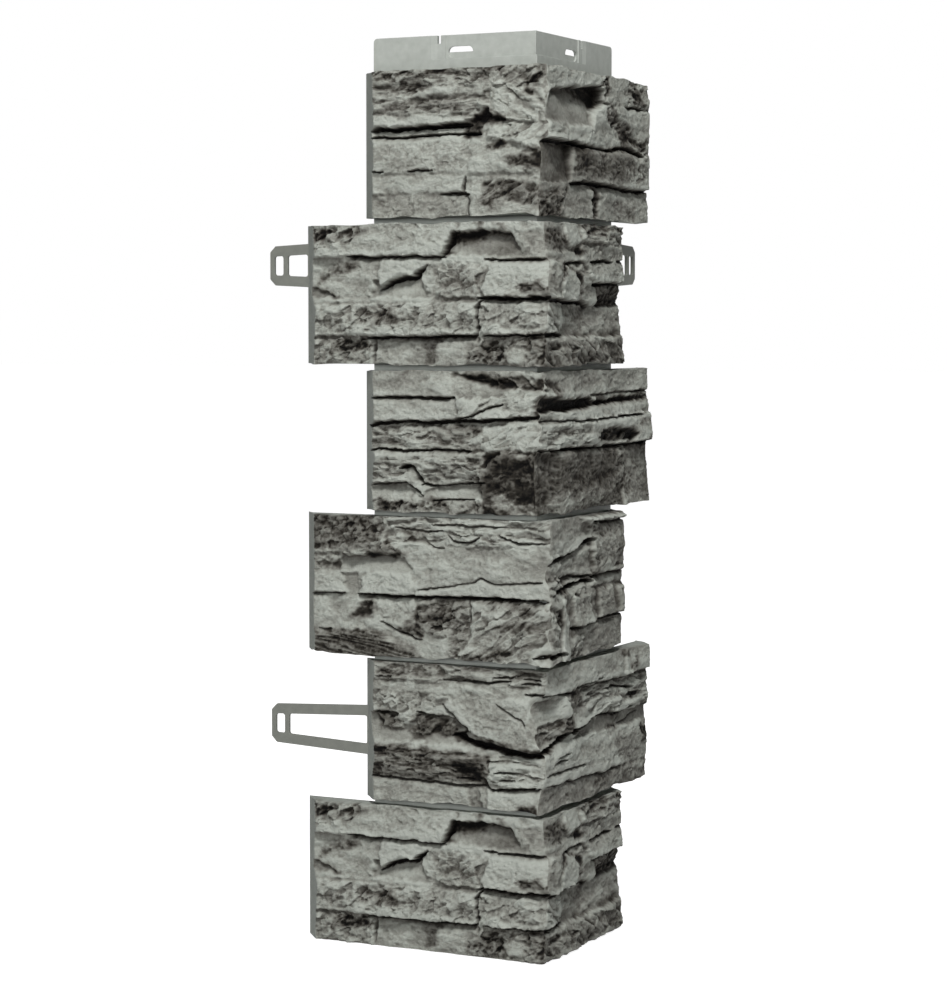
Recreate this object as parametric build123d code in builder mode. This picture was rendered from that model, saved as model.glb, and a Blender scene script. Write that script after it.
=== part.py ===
"""Outer corner of a moulded facade panel: six ledge-stone courses on an L-shaped shell.

The origin is on the arris of the building's corner, at the panel's foot. The left leg lies on the wall
plane Y = 0 and runs towards -X, so its stones stand out towards -Y. The right leg lies on the wall plane
X = 0 and runs towards +Y, so its stones stand out towards +X. Z is up. All sizes are in millimetres.
"""

import os

from build123d import *

# Driving dimensions
course_count = 6
course_pitch = 71.0  # from one groove's middle to the next
groove_height = 3.0  # open joint between two courses
groove_floor = 2.5  # thickness of the shell at the bottom of a groove
wall = 2.2  # thickness of the stone shell
web_leg = 85.5  # length of the grooves and of the nailing flange on each leg
narrow_leg = 91.0  # length of a short leg at the wall plane
wide_leg = 124.0  # length of a long leg at the wall plane
end_bevel = 0.9  # how far a block's end leans in, for each millimetre that it stands out
crack_height = 2.2  # deep crack between two ledge stones
crack_floor = 4.0  # how far a crack's bottom stands out from the wall plane
bed_reach = 4.5  # and how far the shell behind the stones does

flange_height = 17.8  # nailing flange above the top course
flange_corner_radius = 2.0  # at the top of the flange's two outer ends
middle_panel = 46.4  # the flange's middle panel reaches this far along each leg
panel_step = 1.1  # the end panels stand this much forward of the middle panel
web_step = 0.6  # and this much forward of the web beside it
ledge_height = 6.4  # ledge at the foot of the middle panel
slit_end = 50.8  # the web and its slit end here, and the end panel begins
slit_width = 1.8
slit_depth = 4.0
slope_run = 2.9  # length of the slope from the web up to the end panel
nail_slot_length = 13.2
nail_slot_height = 5.4
nail_slot_margin = 1.3  # from the middle panel's end to its nail slot
nail_slot_rise = 9.6  # height of the slot's middle above the top course
nail_slot_backing = 0.6  # skin that closes the lower half of a nail slot

rib_thickness = 1.6
rib_setback = 1.0  # the stiffening ribs stop this far short of the wall planes
rib_spacing = 30.0

tab_thickness = 1.6
tab_overhang_left = 21.0  # the left tabs end this far past the long legs
tab_overhang_right = 27.0  # the right tab ends this far past the short legs
tab_height = 19.5  # height of a tab at its tip
tab_flare = 0.045  # growth of a tab's half height towards its root, for each millimetre of length
tab_corner = 3.0
tab_bar = 2.6  # width of the end bar and of the bar between the windows
tab_arm = 5.2
window_length = 5.0  # nail window next to the end bar
window_radius = 1.2

# Derived dimensions
panel_top = course_count * course_pitch
total_height = panel_top + flange_height
half_groove = groove_height / 2
middle_reach = groove_floor - panel_step
web_reach = groove_floor - web_step
past_end = 8.0  # stones run this far past a block's end, where the bevel trims them
behind = 4 * wall  # a course's core runs this far behind the wall planes
standing = 20.0  # no stone stands out further than this

# Stones of each course. FOOT and HEAD are the course's own foot and head, END is the end of the leg, and
# other heights are above the course's groove. Reach is how far a face stands out from the wall plane.
# Corner stones: (length on the left leg, length on the right leg, foot, head, reach on the left leg,
# reach of the outer edge from the right wall plane, reach on the right leg).
# Ledge stones of a leg: (from, to, foot, head, reach at the foot, reach at the head), along the leg from the arris.
# Cracks of a leg: (from, to, height where it starts, height where it ends).
END, FOOT, HEAD = "end", "foot", "head"
LEFT, RIGHT = "left", "right"

course_a_corner = [
    (24, 20, 60, HEAD, 7.6, 10.6, 9.6),
    (30, 16, 46, 60, 9.4, 10.0, 8.0),
    (22, 30, 36.5, 46, 11.6, 12.0, 10.8),
    (30, 26, 19, 36.5, 10.0, 8.3, 7.2),
    (30, 26, FOOT, 19, 10.6, 7.5, 9.2),
]
course_a_left = [
    (24, END, 44.5, HEAD, 11.0, 7.0),
    (22, END, 36, 46.5, 8.2, 8.2),
    (48, END, 22, 39, 9.5, 9.0),
    (30, 48, 22, 39, 10.5, 9.2),
    (30, END, FOOT, 22, 9.5, 8.2),
]
course_a_right = [
    (20, 60, 64, HEAD, 10.5, 7.5),
    (16, 60, 45, 64, 10.0, 4.6),
    (60, END, 58, HEAD, 8.2, 6.6),
    (56, END, 36, 58, 9.0, 10.8),
    (30, 56, 36, 45, 11.0, 10.2),
    (26, END, 17.5, 36.5, 11.4, 11.0),
    (22, 45, FOOT, 17.5, 9.6, 8.6),
    (45, END, FOOT, 17.5, 8.4, 8.0),
]
course_b_corner = [
    (8, 18, 65, HEAD, 8.8, 10.0, 9.0),
    (4, 18, 52, 65, 9.4, 10.3, 9.0),
    (20, 18, 33, 52, 11.2, 13.6, 9.6),
    (24, 16, 15.5, 33, 10.6, 11.4, 9.0),
    (24, 30, FOOT, 15.5, 8.6, 9.8, 11.4),
]
course_b_left = [
    (42, END, 53, HEAD, 11.0, 8.6),
    (8, 42, 65, HEAD, 9.2, 8.2),
    (4, 42, 52, 65, 9.6, 5.8),
    (85, END, 33, 53, 5.8, 8.6),
    (52, 85, 33, 53, 6.2, 10.0),
    (20, 52, 33, 53, 11.0, 9.0),
    (24, END, 15, 33, 12.0, 9.6),
    (82, END, FOOT, 15, 10.0, 8.2),
    (22, 82, FOOT, 15, 8.6, 8.0),
]
course_b_right = [
    (18, 35, 31, HEAD, 10.2, 8.2),
    (35, END, 41, HEAD, 12.8, 11.6),
    (35, END, 29, 41, 4.8, 9.0),
    (16, 35, 15, 31, 8.2, 6.4),
    (35, END, 15, 29, 7.6, 6.0),
    (30, END, FOOT, 15, 12.2, 11.0),
]
course_c_corner = [
    (33, 20, 57, HEAD, 7.2, 8.3, 9.4),
    (20, 20, 51.5, 57, 10.0, 5.2, 6.6),
    (20, 20, 46, 51.5, 10.8, 5.2, 9.6),
    (28, 24, 31, 46, 10.4, 8.6, 11.2),
    (22, 20, FOOT, 31, 10.2, 5.2, 9.4),
]
course_c_left = [
    (33, END, 56.5, HEAD, 10.2, 7.2),
    (20, END, 45.5, 57, 11.4, 9.2),
    (28, END, 31, 45.5, 9.4, 9.0),
    (22, END, 15, 31, 10.0, 10.6),
    (22, END, 8, 15, 5.4, 6.2),
    (22, END, FOOT, 8, 10.2, 9.2),
]
course_c_right = [
    (20, END, 57, HEAD, 10.2, 8.4),
    (20, END, 51.5, 57, 6.6, 7.0),
    (20, END, 46, 51.5, 10.6, 9.4),
    (24, 52, 32, 46, 12.0, 11.0),
    (52, END, 32, 46, 14.6, 13.4),
    (20, 85, FOOT, 32, 8.6, 10.8),
    (85, END, FOOT, 32, 11.6, 8.2),
]
course_d_corner = [
    (30, 18, 57.5, HEAD, 9.4, 13.2, 10.2),
    (30, 18, 42, 57.5, 9.4, 11.6, 9.8),
    (30, 18, 33, 42, 11.2, 12.8, 9.2),
    (30, 12, FOOT, 33, 10.8, 13.7, 10.4),
]
course_d_left = [
    (78, END, 50, HEAD, 11.2, 9.6),
    (30, 78, 57, HEAD, 10.4, 8.4),
    (61, 78, 44, 57, 6.4, 8.0),
    (78, 97, 44, 50, 6.4, 7.2),
    (30, 61, 44, 57, 9.0, 9.6),
    (97, END, 32, 50, 9.6, 9.0),
    (61, 97, 32, 44, 11.4, 10.2),
    (30, 61, 32, 44, 12.0, 10.4),
    (57, END, 13, 32, 9.4, 8.0),
    (57, END, FOOT, 13, 8.2, 11.6),
    (30, 57, FOOT, 32, 9.0, 9.2),
]
course_d_right = [
    (18, 45, 58, HEAD, 10.6, 9.0),
    (18, 45, 43, 58, 9.4, 10.2),
    (18, 45, 34, 43, 8.8, 9.4),
    (45, END, 41, HEAD, 12.6, 11.8),
    (45, END, 34, 41, 9.4, 9.6),
    (12, 21, FOOT, 34, 11.6, 10.6),
    (21, 42.5, 17.5, 34, 12.4, 12.0),
    (42.5, 50, 17.5, 34, 9.4, 9.8),
    (50, 68, 17.5, 34, 12.8, 12.4),
    (68, 74.5, 17.5, 34, 9.6, 10.0),
    (74.5, END, 17.5, 34, 13.0, 12.6),
    (21, END, FOOT, 17.5, 10.0, 10.6),
]
course_e_corner = [
    (30, 30, 57, HEAD, 8.4, 10.6, 10.4),
    (35, 22, 29.5, 57, 10.4, 5.4, 11.2),
    (24, 30, 13, 29.5, 11.0, 10.0, 9.2),
    (24, 30, FOOT, 13, 10.4, 8.4, 8.8),
]
course_e_left = [
    (30, END, 57, HEAD, 9.4, 7.2),
    (35, END, 29.5, 57, 7.4, 10.2),
    (24, END, 13.5, 29.5, 8.2, 11.8),
    (24, END, FOOT, 13.5, 9.6, 8.4),
]
course_e_right = [
    (30, 85, 57, HEAD, 11.2, 9.2),
    (85, END, 57, HEAD, 13.4, 11.6),
    (22, END, 45, 57, 8.8, 8.4),
    (22, END, 33, 45, 6.8, 8.2),
    (22, 100, 14, 33, 9.4, 8.6),
    (100, END, 14, 33, 8.0, 11.0),
    (30, END, FOOT, 14, 8.6, 8.8),
]
cracks_a = {LEFT: [(29, END, 45.0, 43.6)], RIGHT: [(-12, 37, 36.6, 36.0), (71, 107, 37.6, 35.4), (21, END, 18.2, 17.2)]}
cracks_b = {LEFT: [(-14, 25, 33.2, 33.6), (25, 86, 15.4, 14.2)], RIGHT: [(-12, 45, 32.8, 29.4), (-12, 14, 16.4, 15.8)]}
cracks_c = {LEFT: [(-6, 88, 47.4, 42.8)], RIGHT: []}
cracks_d = {LEFT: [(-14, 91, 31.8, 31.0)], RIGHT: [(-12, 45, 48.6, 57.6)]}
cracks_e = {LEFT: [(-8, 38, 28.4, 35.6)], RIGHT: [(-12, 57, 29.4, 39.8)]}

# Each course from the foot up: its corner stones, its stones on both legs, its cracks, and which leg is the long one.
courses = [
    (course_b_corner, course_b_left, course_b_right, cracks_b, LEFT),
    (course_e_corner, course_e_left, course_e_right, cracks_e, RIGHT),
    (course_d_corner, course_d_left, course_d_right, cracks_d, LEFT),
    (course_c_corner, course_c_left, course_c_right, cracks_c, RIGHT),
    (course_b_corner, course_b_left, course_b_right, cracks_b, LEFT),
    (course_a_corner, course_a_left, course_a_right, cracks_a, RIGHT),
]
# Nail tabs: the leg, the course that carries it, and the height of its middle above that course's groove.
tabs = [
    (LEFT, 4, 50.0),
    (LEFT, 1, 34.0),
    (RIGHT, 4, 51.0),
]


def leg_section(leg, along):
    """Section plane across a leg: local X is the reach, local Y is the height, and it looks along the leg."""
    if leg == LEFT:
        return Plane(origin=(-along, 0, 0), x_dir=(0, -1, 0), z_dir=(-1, 0, 0))
    return Plane(origin=(0, along, 0), x_dir=(1, 0, 0), z_dir=(0, -1, 0))


def wall_plane(leg, reach=0.0):
    """Plane along a leg: local X runs along the leg from the arris, and local Y is the height."""
    if leg == LEFT:
        return Plane(origin=(0, -reach, 0), x_dir=(-1, 0, 0), z_dir=(0, 1, 0))
    return Plane(origin=(reach, 0, 0), x_dir=(0, 1, 0), z_dir=(1, 0, 0))


def stand_out(leg, sketch, amount, mode=Mode.ADD):
    """Extrudes a sketch on a wall plane away from the wall."""
    extrude(sketch, amount=-amount if leg == LEFT else amount, mode=mode)


def stone_section(leg, along_from, along_to, foot, head, reach_foot, reach_head):
    """A ledge stone's section, on the plane from which it is drawn out along the leg."""
    with BuildSketch(leg_section(leg, along_from if leg == LEFT else along_to)) as section:
        with BuildLine():
            Polyline(
                (-behind, foot),
                (reach_foot, foot),
                (reach_head, head),
                (-behind, head),
                close=True,
            )
        make_face()
    return section.sketch


def corner_plan(left_length, right_length, foot, left_reach, edge_reach, right_reach):
    """A corner stone's plan, at the height of its foot."""
    with BuildSketch(Plane.XY.offset(foot)) as plan:
        with BuildLine():
            Polyline(
                (-left_length, behind),
                (-left_length, -left_reach),
                (edge_reach, -left_reach),
                (right_reach, right_length),
                (-behind, right_length),
                (-behind, behind),
                close=True,
            )
        make_face()
    return plan.sketch


def crack_face(leg, along_from, along_to, start, finish, margin):
    """A crack between two stones, drawn on the plane of its bottom, with a margin all round."""
    half = crack_height / 2 + margin
    with BuildSketch(wall_plane(leg, crack_floor - margin)) as face:
        with BuildLine():
            Polyline(
                (along_from - margin, start - half),
                (along_to + margin, finish - half),
                (along_to + margin, finish + half),
                (along_from - margin, start + half),
                close=True,
            )
        make_face()
    return face.sketch


def leg_ends(number):
    """Lengths of the left and of the right leg of a course."""
    return (wide_leg, narrow_leg) if courses[number][-1] == LEFT else (narrow_leg, wide_leg)


def course_core(number):
    """A course as a full block: its bed, its corner stones and the stones of both legs, trimmed at the bevelled ends."""
    corner_stones, left_stones, right_stones, _, _ = courses[number]
    left_end, right_end = leg_ends(number)
    low = 0 if number == 0 else half_groove
    high = course_pitch if number == course_count - 1 else course_pitch - half_groove
    places = {FOOT: low, HEAD: high}
    with BuildPart() as core:
        bed = corner_plan(left_end + past_end, right_end + past_end, low, bed_reach, bed_reach, bed_reach)
        extrude(bed, amount=high - low)
        for left_length, right_length, *heights, left_reach, edge_reach, right_reach in corner_stones:
            foot, head = [places.get(value, value) for value in heights]
            extrude(corner_plan(left_length, right_length, foot, left_reach, edge_reach, right_reach), amount=head - foot)
        for leg, stones, leg_end in ((LEFT, left_stones, left_end), (RIGHT, right_stones, right_end)):
            places[END] = leg_end + past_end
            for values in stones:
                along_from, along_to, foot, head = [places.get(value, value) for value in values[:4]]
                section = stone_section(leg, along_from, along_to, foot, head, *values[4:])
                extrude(section, amount=along_to - along_from)
        with BuildSketch():
            with BuildLine():
                Polyline(
                    (-left_end - end_bevel * behind, behind),
                    (-left_end + end_bevel * standing, -standing),
                    (standing, -standing),
                    (standing, right_end - end_bevel * standing),
                    (-behind, right_end + end_bevel * behind),
                    (-behind, behind),
                    close=True,
                )
            make_face()
        extrude(amount=course_pitch, mode=Mode.INTERSECT)
    return Pos(0, 0, number * course_pitch) * core.part


def cut_cracks(number, margin=0.0):
    """Takes a course's cracks, with a margin round them, out of the part that is being built."""
    level = number * course_pitch
    for leg, leg_end in zip((LEFT, RIGHT), leg_ends(number)):
        for along_from, along_to, start, finish in courses[number][3][leg]:
            far = leg_end + past_end if along_to == END else along_to
            crack = crack_face(leg, along_from, far, level + start, level + finish, margin)
            stand_out(leg, crack, standing, mode=Mode.SUBTRACT)


def course_shell(number):
    """A course as it is moulded: its core with the cracks, hollow and open at the wall planes, with stiffening ribs.

    The hollow is what lies inside the core when that is moved in by the wall from each side, clear of the cracks.
    """
    core = course_core(number)
    with BuildPart() as space:
        add(Pos(-wall, wall, wall) * core)
        add(Pos(-wall, wall, -wall) * core, mode=Mode.INTERSECT)
        add(Pos(wall, wall, 0) * core, mode=Mode.INTERSECT)
        add(Pos(-wall, -wall, 0) * core, mode=Mode.INTERSECT)
        for leg, leg_end in zip((LEFT, RIGHT), leg_ends(number)):
            rib_count = int((leg_end - rib_spacing / 2) / rib_spacing)
            with BuildSketch(wall_plane(leg, rib_setback)) as ribs:
                for rib in range(1, rib_count + 1):
                    with Locations((rib * rib_spacing, (number + 0.5) * course_pitch)):
                        Rectangle(rib_thickness, course_pitch)
            stand_out(leg, ribs.sketch, standing, mode=Mode.SUBTRACT)
        cut_cracks(number, wall)
    with BuildPart() as shell:
        add(core)
        cut_cracks(number)
        with Locations((-wide_leg, wide_leg, (number + 0.5) * course_pitch)):
            Box(2 * wide_leg, 2 * wide_leg, 2 * course_pitch, mode=Mode.SUBTRACT)
        add(space.part, mode=Mode.SUBTRACT)
    return shell.part


def flange_plan():
    """Plan of the left half of the nailing flange: the middle panel, the web with the slit, and the end panel."""
    with BuildSketch(Plane.XY.offset(panel_top - wall)) as plan:
        with BuildLine():
            Polyline(
                (middle_reach, 0),
                (middle_reach, -middle_reach),
                (-middle_panel, -middle_reach),
                (-middle_panel, -web_reach),
                (-slit_end, -web_reach),
                (-slit_end - slope_run, -groove_floor),
                (-web_leg, -groove_floor),
                (-web_leg, 0),
                close=True,
            )
        make_face()
    return plan.sketch


def tab_face(leg, number, rise):
    """Outline of a nail tab with its two windows, from inside the block's end wall to its tip."""
    leg_end = leg_ends(number)[0 if leg == LEFT else 1]
    tip = wide_leg + tab_overhang_left if leg == LEFT else narrow_leg + tab_overhang_right
    root = leg_end - wall
    middle = number * course_pitch + rise
    half_tip = tab_height / 2
    half_root = half_tip + tab_flare * (tip - root)
    window_tip = tip - tab_bar
    window_root = window_tip - window_length
    bar_root = window_root - tab_bar

    def half_window(along):
        return half_tip + tab_flare * (tip - along) - tab_arm

    with BuildSketch(wall_plane(leg)) as face:
        with BuildLine():
            Polyline(
                (root, middle - half_root),
                (tip - tab_corner, middle - half_tip),
                (tip, middle - half_tip + tab_corner),
                (tip, middle + half_tip - tab_corner),
                (tip - tab_corner, middle + half_tip),
                (root, middle + half_root),
                close=True,
            )
        make_face()
        for near, far in ((window_root, window_tip), (root, bar_root)):
            with BuildSketch(wall_plane(leg), mode=Mode.SUBTRACT) as window:
                with BuildLine():
                    Polyline(
                        (near, middle - half_window(near)),
                        (far, middle - half_window(far)),
                        (far, middle + half_window(far)),
                        (near, middle + half_window(near)),
                        close=True,
                    )
                make_face()
                fillet(window.vertices(), window_radius)
    return face.sketch


shells = [course_shell(number) for number in range(course_count)]

with BuildPart() as web:
    # Nailing flange of the left leg, with its ledge, its slit and its nail slot
    extrude(flange_plan(), amount=wall + flange_height)
    outer_corner = web.edges().filter_by(Axis.Y).group_by(Axis.Z)[-1].sort_by(Axis.X)[0]
    fillet(outer_corner, flange_corner_radius)
    with BuildSketch(wall_plane(LEFT)) as ledge:
        with Locations(((slit_end + slope_run - groove_floor) / 2, panel_top + (ledge_height - wall) / 2)):
            Rectangle(slit_end + slope_run + groove_floor, ledge_height + wall)
    stand_out(LEFT, ledge.sketch, groove_floor)
    with BuildSketch(wall_plane(LEFT)) as slit:
        with Locations((slit_end - slit_width / 2, total_height)):
            Rectangle(slit_width, 2 * slit_depth)
    stand_out(LEFT, slit.sketch, standing, mode=Mode.SUBTRACT)
    slot_middle = (middle_panel - nail_slot_margin - nail_slot_length / 2, panel_top + nail_slot_rise)
    with BuildSketch(wall_plane(LEFT, nail_slot_backing)) as nail_slot:
        with Locations(slot_middle):
            SlotOverall(nail_slot_length, nail_slot_height)
    stand_out(LEFT, nail_slot.sketch, standing, mode=Mode.SUBTRACT)
    with BuildSketch(wall_plane(LEFT)) as open_half:
        with Locations(slot_middle):
            SlotOverall(nail_slot_length, nail_slot_height)
        with Locations((slot_middle[0], slot_middle[1] - nail_slot_height / 2)):
            Rectangle(2 * nail_slot_length, nail_slot_height, mode=Mode.SUBTRACT)
    stand_out(LEFT, open_half.sketch, standing, mode=Mode.SUBTRACT)

    # Floors of the grooves between the courses
    with BuildSketch(wall_plane(LEFT)) as floors:
        for number in range(1, course_count):
            with Locations(((web_leg - groove_floor) / 2, number * course_pitch)):
                Rectangle(web_leg + groove_floor, groove_height + 2 * wall)
    stand_out(LEFT, floors.sketch, groove_floor)

    # The right leg's flange and floors mirror the left leg's
    mirror(about=Plane(origin=(0, 0, 0), x_dir=(0, 0, 1), z_dir=(1, 1, 0)))

with BuildPart() as corner_panel:
    add(web.part)

    # Nail tabs
    for leg, number, rise in tabs:
        stand_out(leg, tab_face(leg, number, rise), tab_thickness)

    # Stone courses
    add(shells)

corner_panel.part.label = "corner_panel"
os.makedirs("parts", exist_ok=True)
export_step(corner_panel.part, "parts/corner_panel.step")
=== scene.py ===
"""Facade panel outer corner: moulded plastic with six ledge-stone courses, a nailing flange and nail tabs.

The stone faces are height fields over the two legs, drawn from listed stones, slits, and patches of toning paint and
painted shade.
Sizes are in millimetres, in the part's own frame, and become metres when a mesh is made.
"""

import math

import bpy
import numpy as np
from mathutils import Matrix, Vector


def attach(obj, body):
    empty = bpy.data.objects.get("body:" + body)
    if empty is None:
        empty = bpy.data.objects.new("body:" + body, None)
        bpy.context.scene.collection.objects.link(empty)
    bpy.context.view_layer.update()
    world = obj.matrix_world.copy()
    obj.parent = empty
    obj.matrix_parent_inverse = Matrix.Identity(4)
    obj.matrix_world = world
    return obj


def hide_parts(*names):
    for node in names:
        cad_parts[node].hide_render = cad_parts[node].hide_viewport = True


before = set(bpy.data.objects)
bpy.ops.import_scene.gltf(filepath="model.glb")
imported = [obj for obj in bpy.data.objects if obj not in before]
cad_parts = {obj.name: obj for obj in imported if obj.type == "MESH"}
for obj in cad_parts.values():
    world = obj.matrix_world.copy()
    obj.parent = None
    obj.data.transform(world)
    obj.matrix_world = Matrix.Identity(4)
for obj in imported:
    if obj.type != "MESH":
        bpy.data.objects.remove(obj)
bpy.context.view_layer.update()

MM = 0.001

# The part's own sizes
COURSES = 6
PITCH = 71.0  # from one groove's middle to the next
HALF_GROOVE = 1.5
GROOVE_FLOOR = 2.5  # how far a groove's bottom and the flange's end panels stand out from the wall
WALL = 2.2
WEB_LEG = 85.5  # length of the grooves and of the flange on each leg
NARROW, WIDE = 91.0, 124.0  # lengths of a short and of a long leg
BEVEL = 0.9  # how far a course's end leans in, for each millimetre that it stands out
RIB_SPACING, RIB_SETBACK, RIB_HALF = 30.0, 1.0, 0.8

# The stone faces
STEP = 0.46  # grid of the height fields
SPARE = 16.0  # how far a leg's field runs past the arris
READ = 9.0  # the outlines below are given as they show on a plane this far out of the wall
MARK = 9.5  # depth of the face that slits and toning lie on
LEFT_SHIFT, RIGHT_SHIFT = -0.5, 2.0  # how far an outline moves along its leg, for each millimetre below READ
RIGHT_STRETCH = 1.35  # the right leg's textures are this much longer
LEAST_REACH, MOST_REACH = 2.8, 16.5  # of the stones, from the wall plane
TOP_LIP = 1.2  # the top course runs this far up in front of the flange
CORNER = 12.0  # width of each half of the corner in the flat layout


# Noise

def lattice(i, j, seed):
    n = (i.astype(np.int64) * 374761393 + j.astype(np.int64) * 668265263 + seed * 974711) & 0xFFFFFFFF
    n = ((n ^ (n >> 13)) * 1274126177) & 0xFFFFFFFF
    n = ((n ^ (n >> 15)) * 2246822519) & 0xFFFFFFFF
    return ((n ^ (n >> 16)) & 0xFFFFFF) / 8388607.5 - 1.0


def noise(x, y, seed):
    i, j = np.floor(x), np.floor(y)
    fx, fy = x - i, y - j
    fx, fy = fx * fx * (3 - 2 * fx), fy * fy * (3 - 2 * fy)
    a, b = lattice(i, j, seed), lattice(i + 1, j, seed)
    c, d = lattice(i, j + 1, seed), lattice(i + 1, j + 1, seed)
    return (a + (b - a) * fx) * (1 - fy) + (c + (d - c) * fx) * fy


def fbm(x, y, seed, octaves):
    total, size = 0.0, 1.0
    for k in range(octaves):
        total = total + size * noise(x, y, seed + 31 * k)
        x, y, size = x * 2.03, y * 2.03, size * 0.5
    return total


def facets(x, y, seed):
    """Broken stone: cells about one unit wide, each a flat chip with its own tilt and height."""
    i, j = np.floor(x), np.floor(y)
    best = np.full(x.shape, 9.0)
    value = np.zeros(x.shape)
    for di in (-1, 0, 1):
        for dj in (-1, 0, 1):
            ci, cj = i + di, j + dj
            dx = x - ci - 0.5 - 0.48 * lattice(ci, cj, seed)
            dy = y - cj - 0.5 - 0.48 * lattice(ci, cj, seed + 1)
            far = dx * dx + dy * dy
            tilt = lattice(ci, cj, seed + 2) * dx + lattice(ci, cj, seed + 3) * dy
            value = np.where(far < best, 1.1 * tilt + 0.55 * lattice(ci, cj, seed + 4), value)
            best = np.minimum(best, far)
    return value


def blur(field, radius):
    """Three passes of a box filter, about a Gaussian, along both axes."""
    k = max(1, int(round(radius / STEP)))
    for axis in (0, 1):
        n = field.shape[axis]
        for _ in range(3):
            pad = [(k + 1, k) if a == axis else (0, 0) for a in (0, 1)]
            total = np.cumsum(np.pad(field, pad, mode="edge"), axis=axis)
            high = np.take(total, np.arange(n) + 2 * k + 1, axis=axis)
            low = np.take(total, np.arange(n), axis=axis)
            field = (high - low) / (2 * k + 1)
    return field


def lowest(field, radius):
    """The least value within a square round each place."""
    k = int(math.ceil(radius / STEP))
    for axis in (0, 1):
        n = field.shape[axis]
        wide = np.pad(field, [(k, k) if a == axis else (0, 0) for a in (0, 1)], mode="edge")
        field = np.minimum.reduce([np.take(wide, np.arange(n) + i, axis=axis) for i in range(2 * k + 1)])
    return field


def ramp(low, high, value):
    t = np.clip((value - low) / (high - low), 0, 1)
    return t * t * (3 - 2 * t)


def signed(points, x, y):
    """Distance to a closed outline, positive inside it."""
    near = np.full(x.shape, 1e9)
    inside = np.zeros(x.shape, bool)
    for (ax, ay), (bx, by) in zip(points, points[1:] + points[:1]):
        ex, ey = bx - ax, by - ay
        t = np.clip(((x - ax) * ex + (y - ay) * ey) / (ex * ex + ey * ey + 1e-9), 0, 1)
        near = np.minimum(near, (x - ax - t * ex) ** 2 + (y - ay - t * ey) ** 2)
        if by != ay:
            inside ^= ((ay > y) != (by > y)) & (x < ex * (y - ay) / ey + ax)
    return np.where(inside, 1, -1) * np.sqrt(near)


def along(points, x, y):
    """Distance to an open line, how near its ends a place is (0 at an end, 1 away from both), and how far above it."""
    near, where, above = np.full(x.shape, 1e9), np.zeros(x.shape), np.zeros(x.shape)
    length = [0.0]
    for (ax, ay), (bx, by) in zip(points, points[1:]):
        length.append(length[-1] + math.hypot(bx - ax, by - ay))
    for n, ((ax, ay), (bx, by)) in enumerate(zip(points, points[1:])):
        ex, ey = bx - ax, by - ay
        t = np.clip(((x - ax) * ex + (y - ay) * ey) / (ex * ex + ey * ey + 1e-9), 0, 1)
        far = (x - ax - t * ex) ** 2 + (y - ay - t * ey) ** 2
        closer = far < near
        where = np.where(closer, length[n] + t * (length[n + 1] - length[n]), where)
        above = np.where(closer, y - ay - t * ey, above)
        near = np.minimum(near, far)
    taper = min(4.0, 0.3 * length[-1])
    ends = ramp(0, taper, where) * ramp(0, taper, length[-1] - where)
    return np.sqrt(near), ends, above


# Stones, painted in this order. A stone is (texture, depth, slope along the leg, slope upwards, darkness, outline),
# a slit is ("slit", width, depth that is left, line), and a patch of toning paint and painted shade is ("tone",
# darkness, softness, outline).
# Darkness is toning paint, and in some stones and patches painted shade in hollows and under ledges; slits are coloured
# near black, partly as toning paint and partly as painted shadow.

def box(s0, s1, z0, z1):
    return [(s0, z0), (s1, z0), (s1, z1), (s0, z1)]


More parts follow.
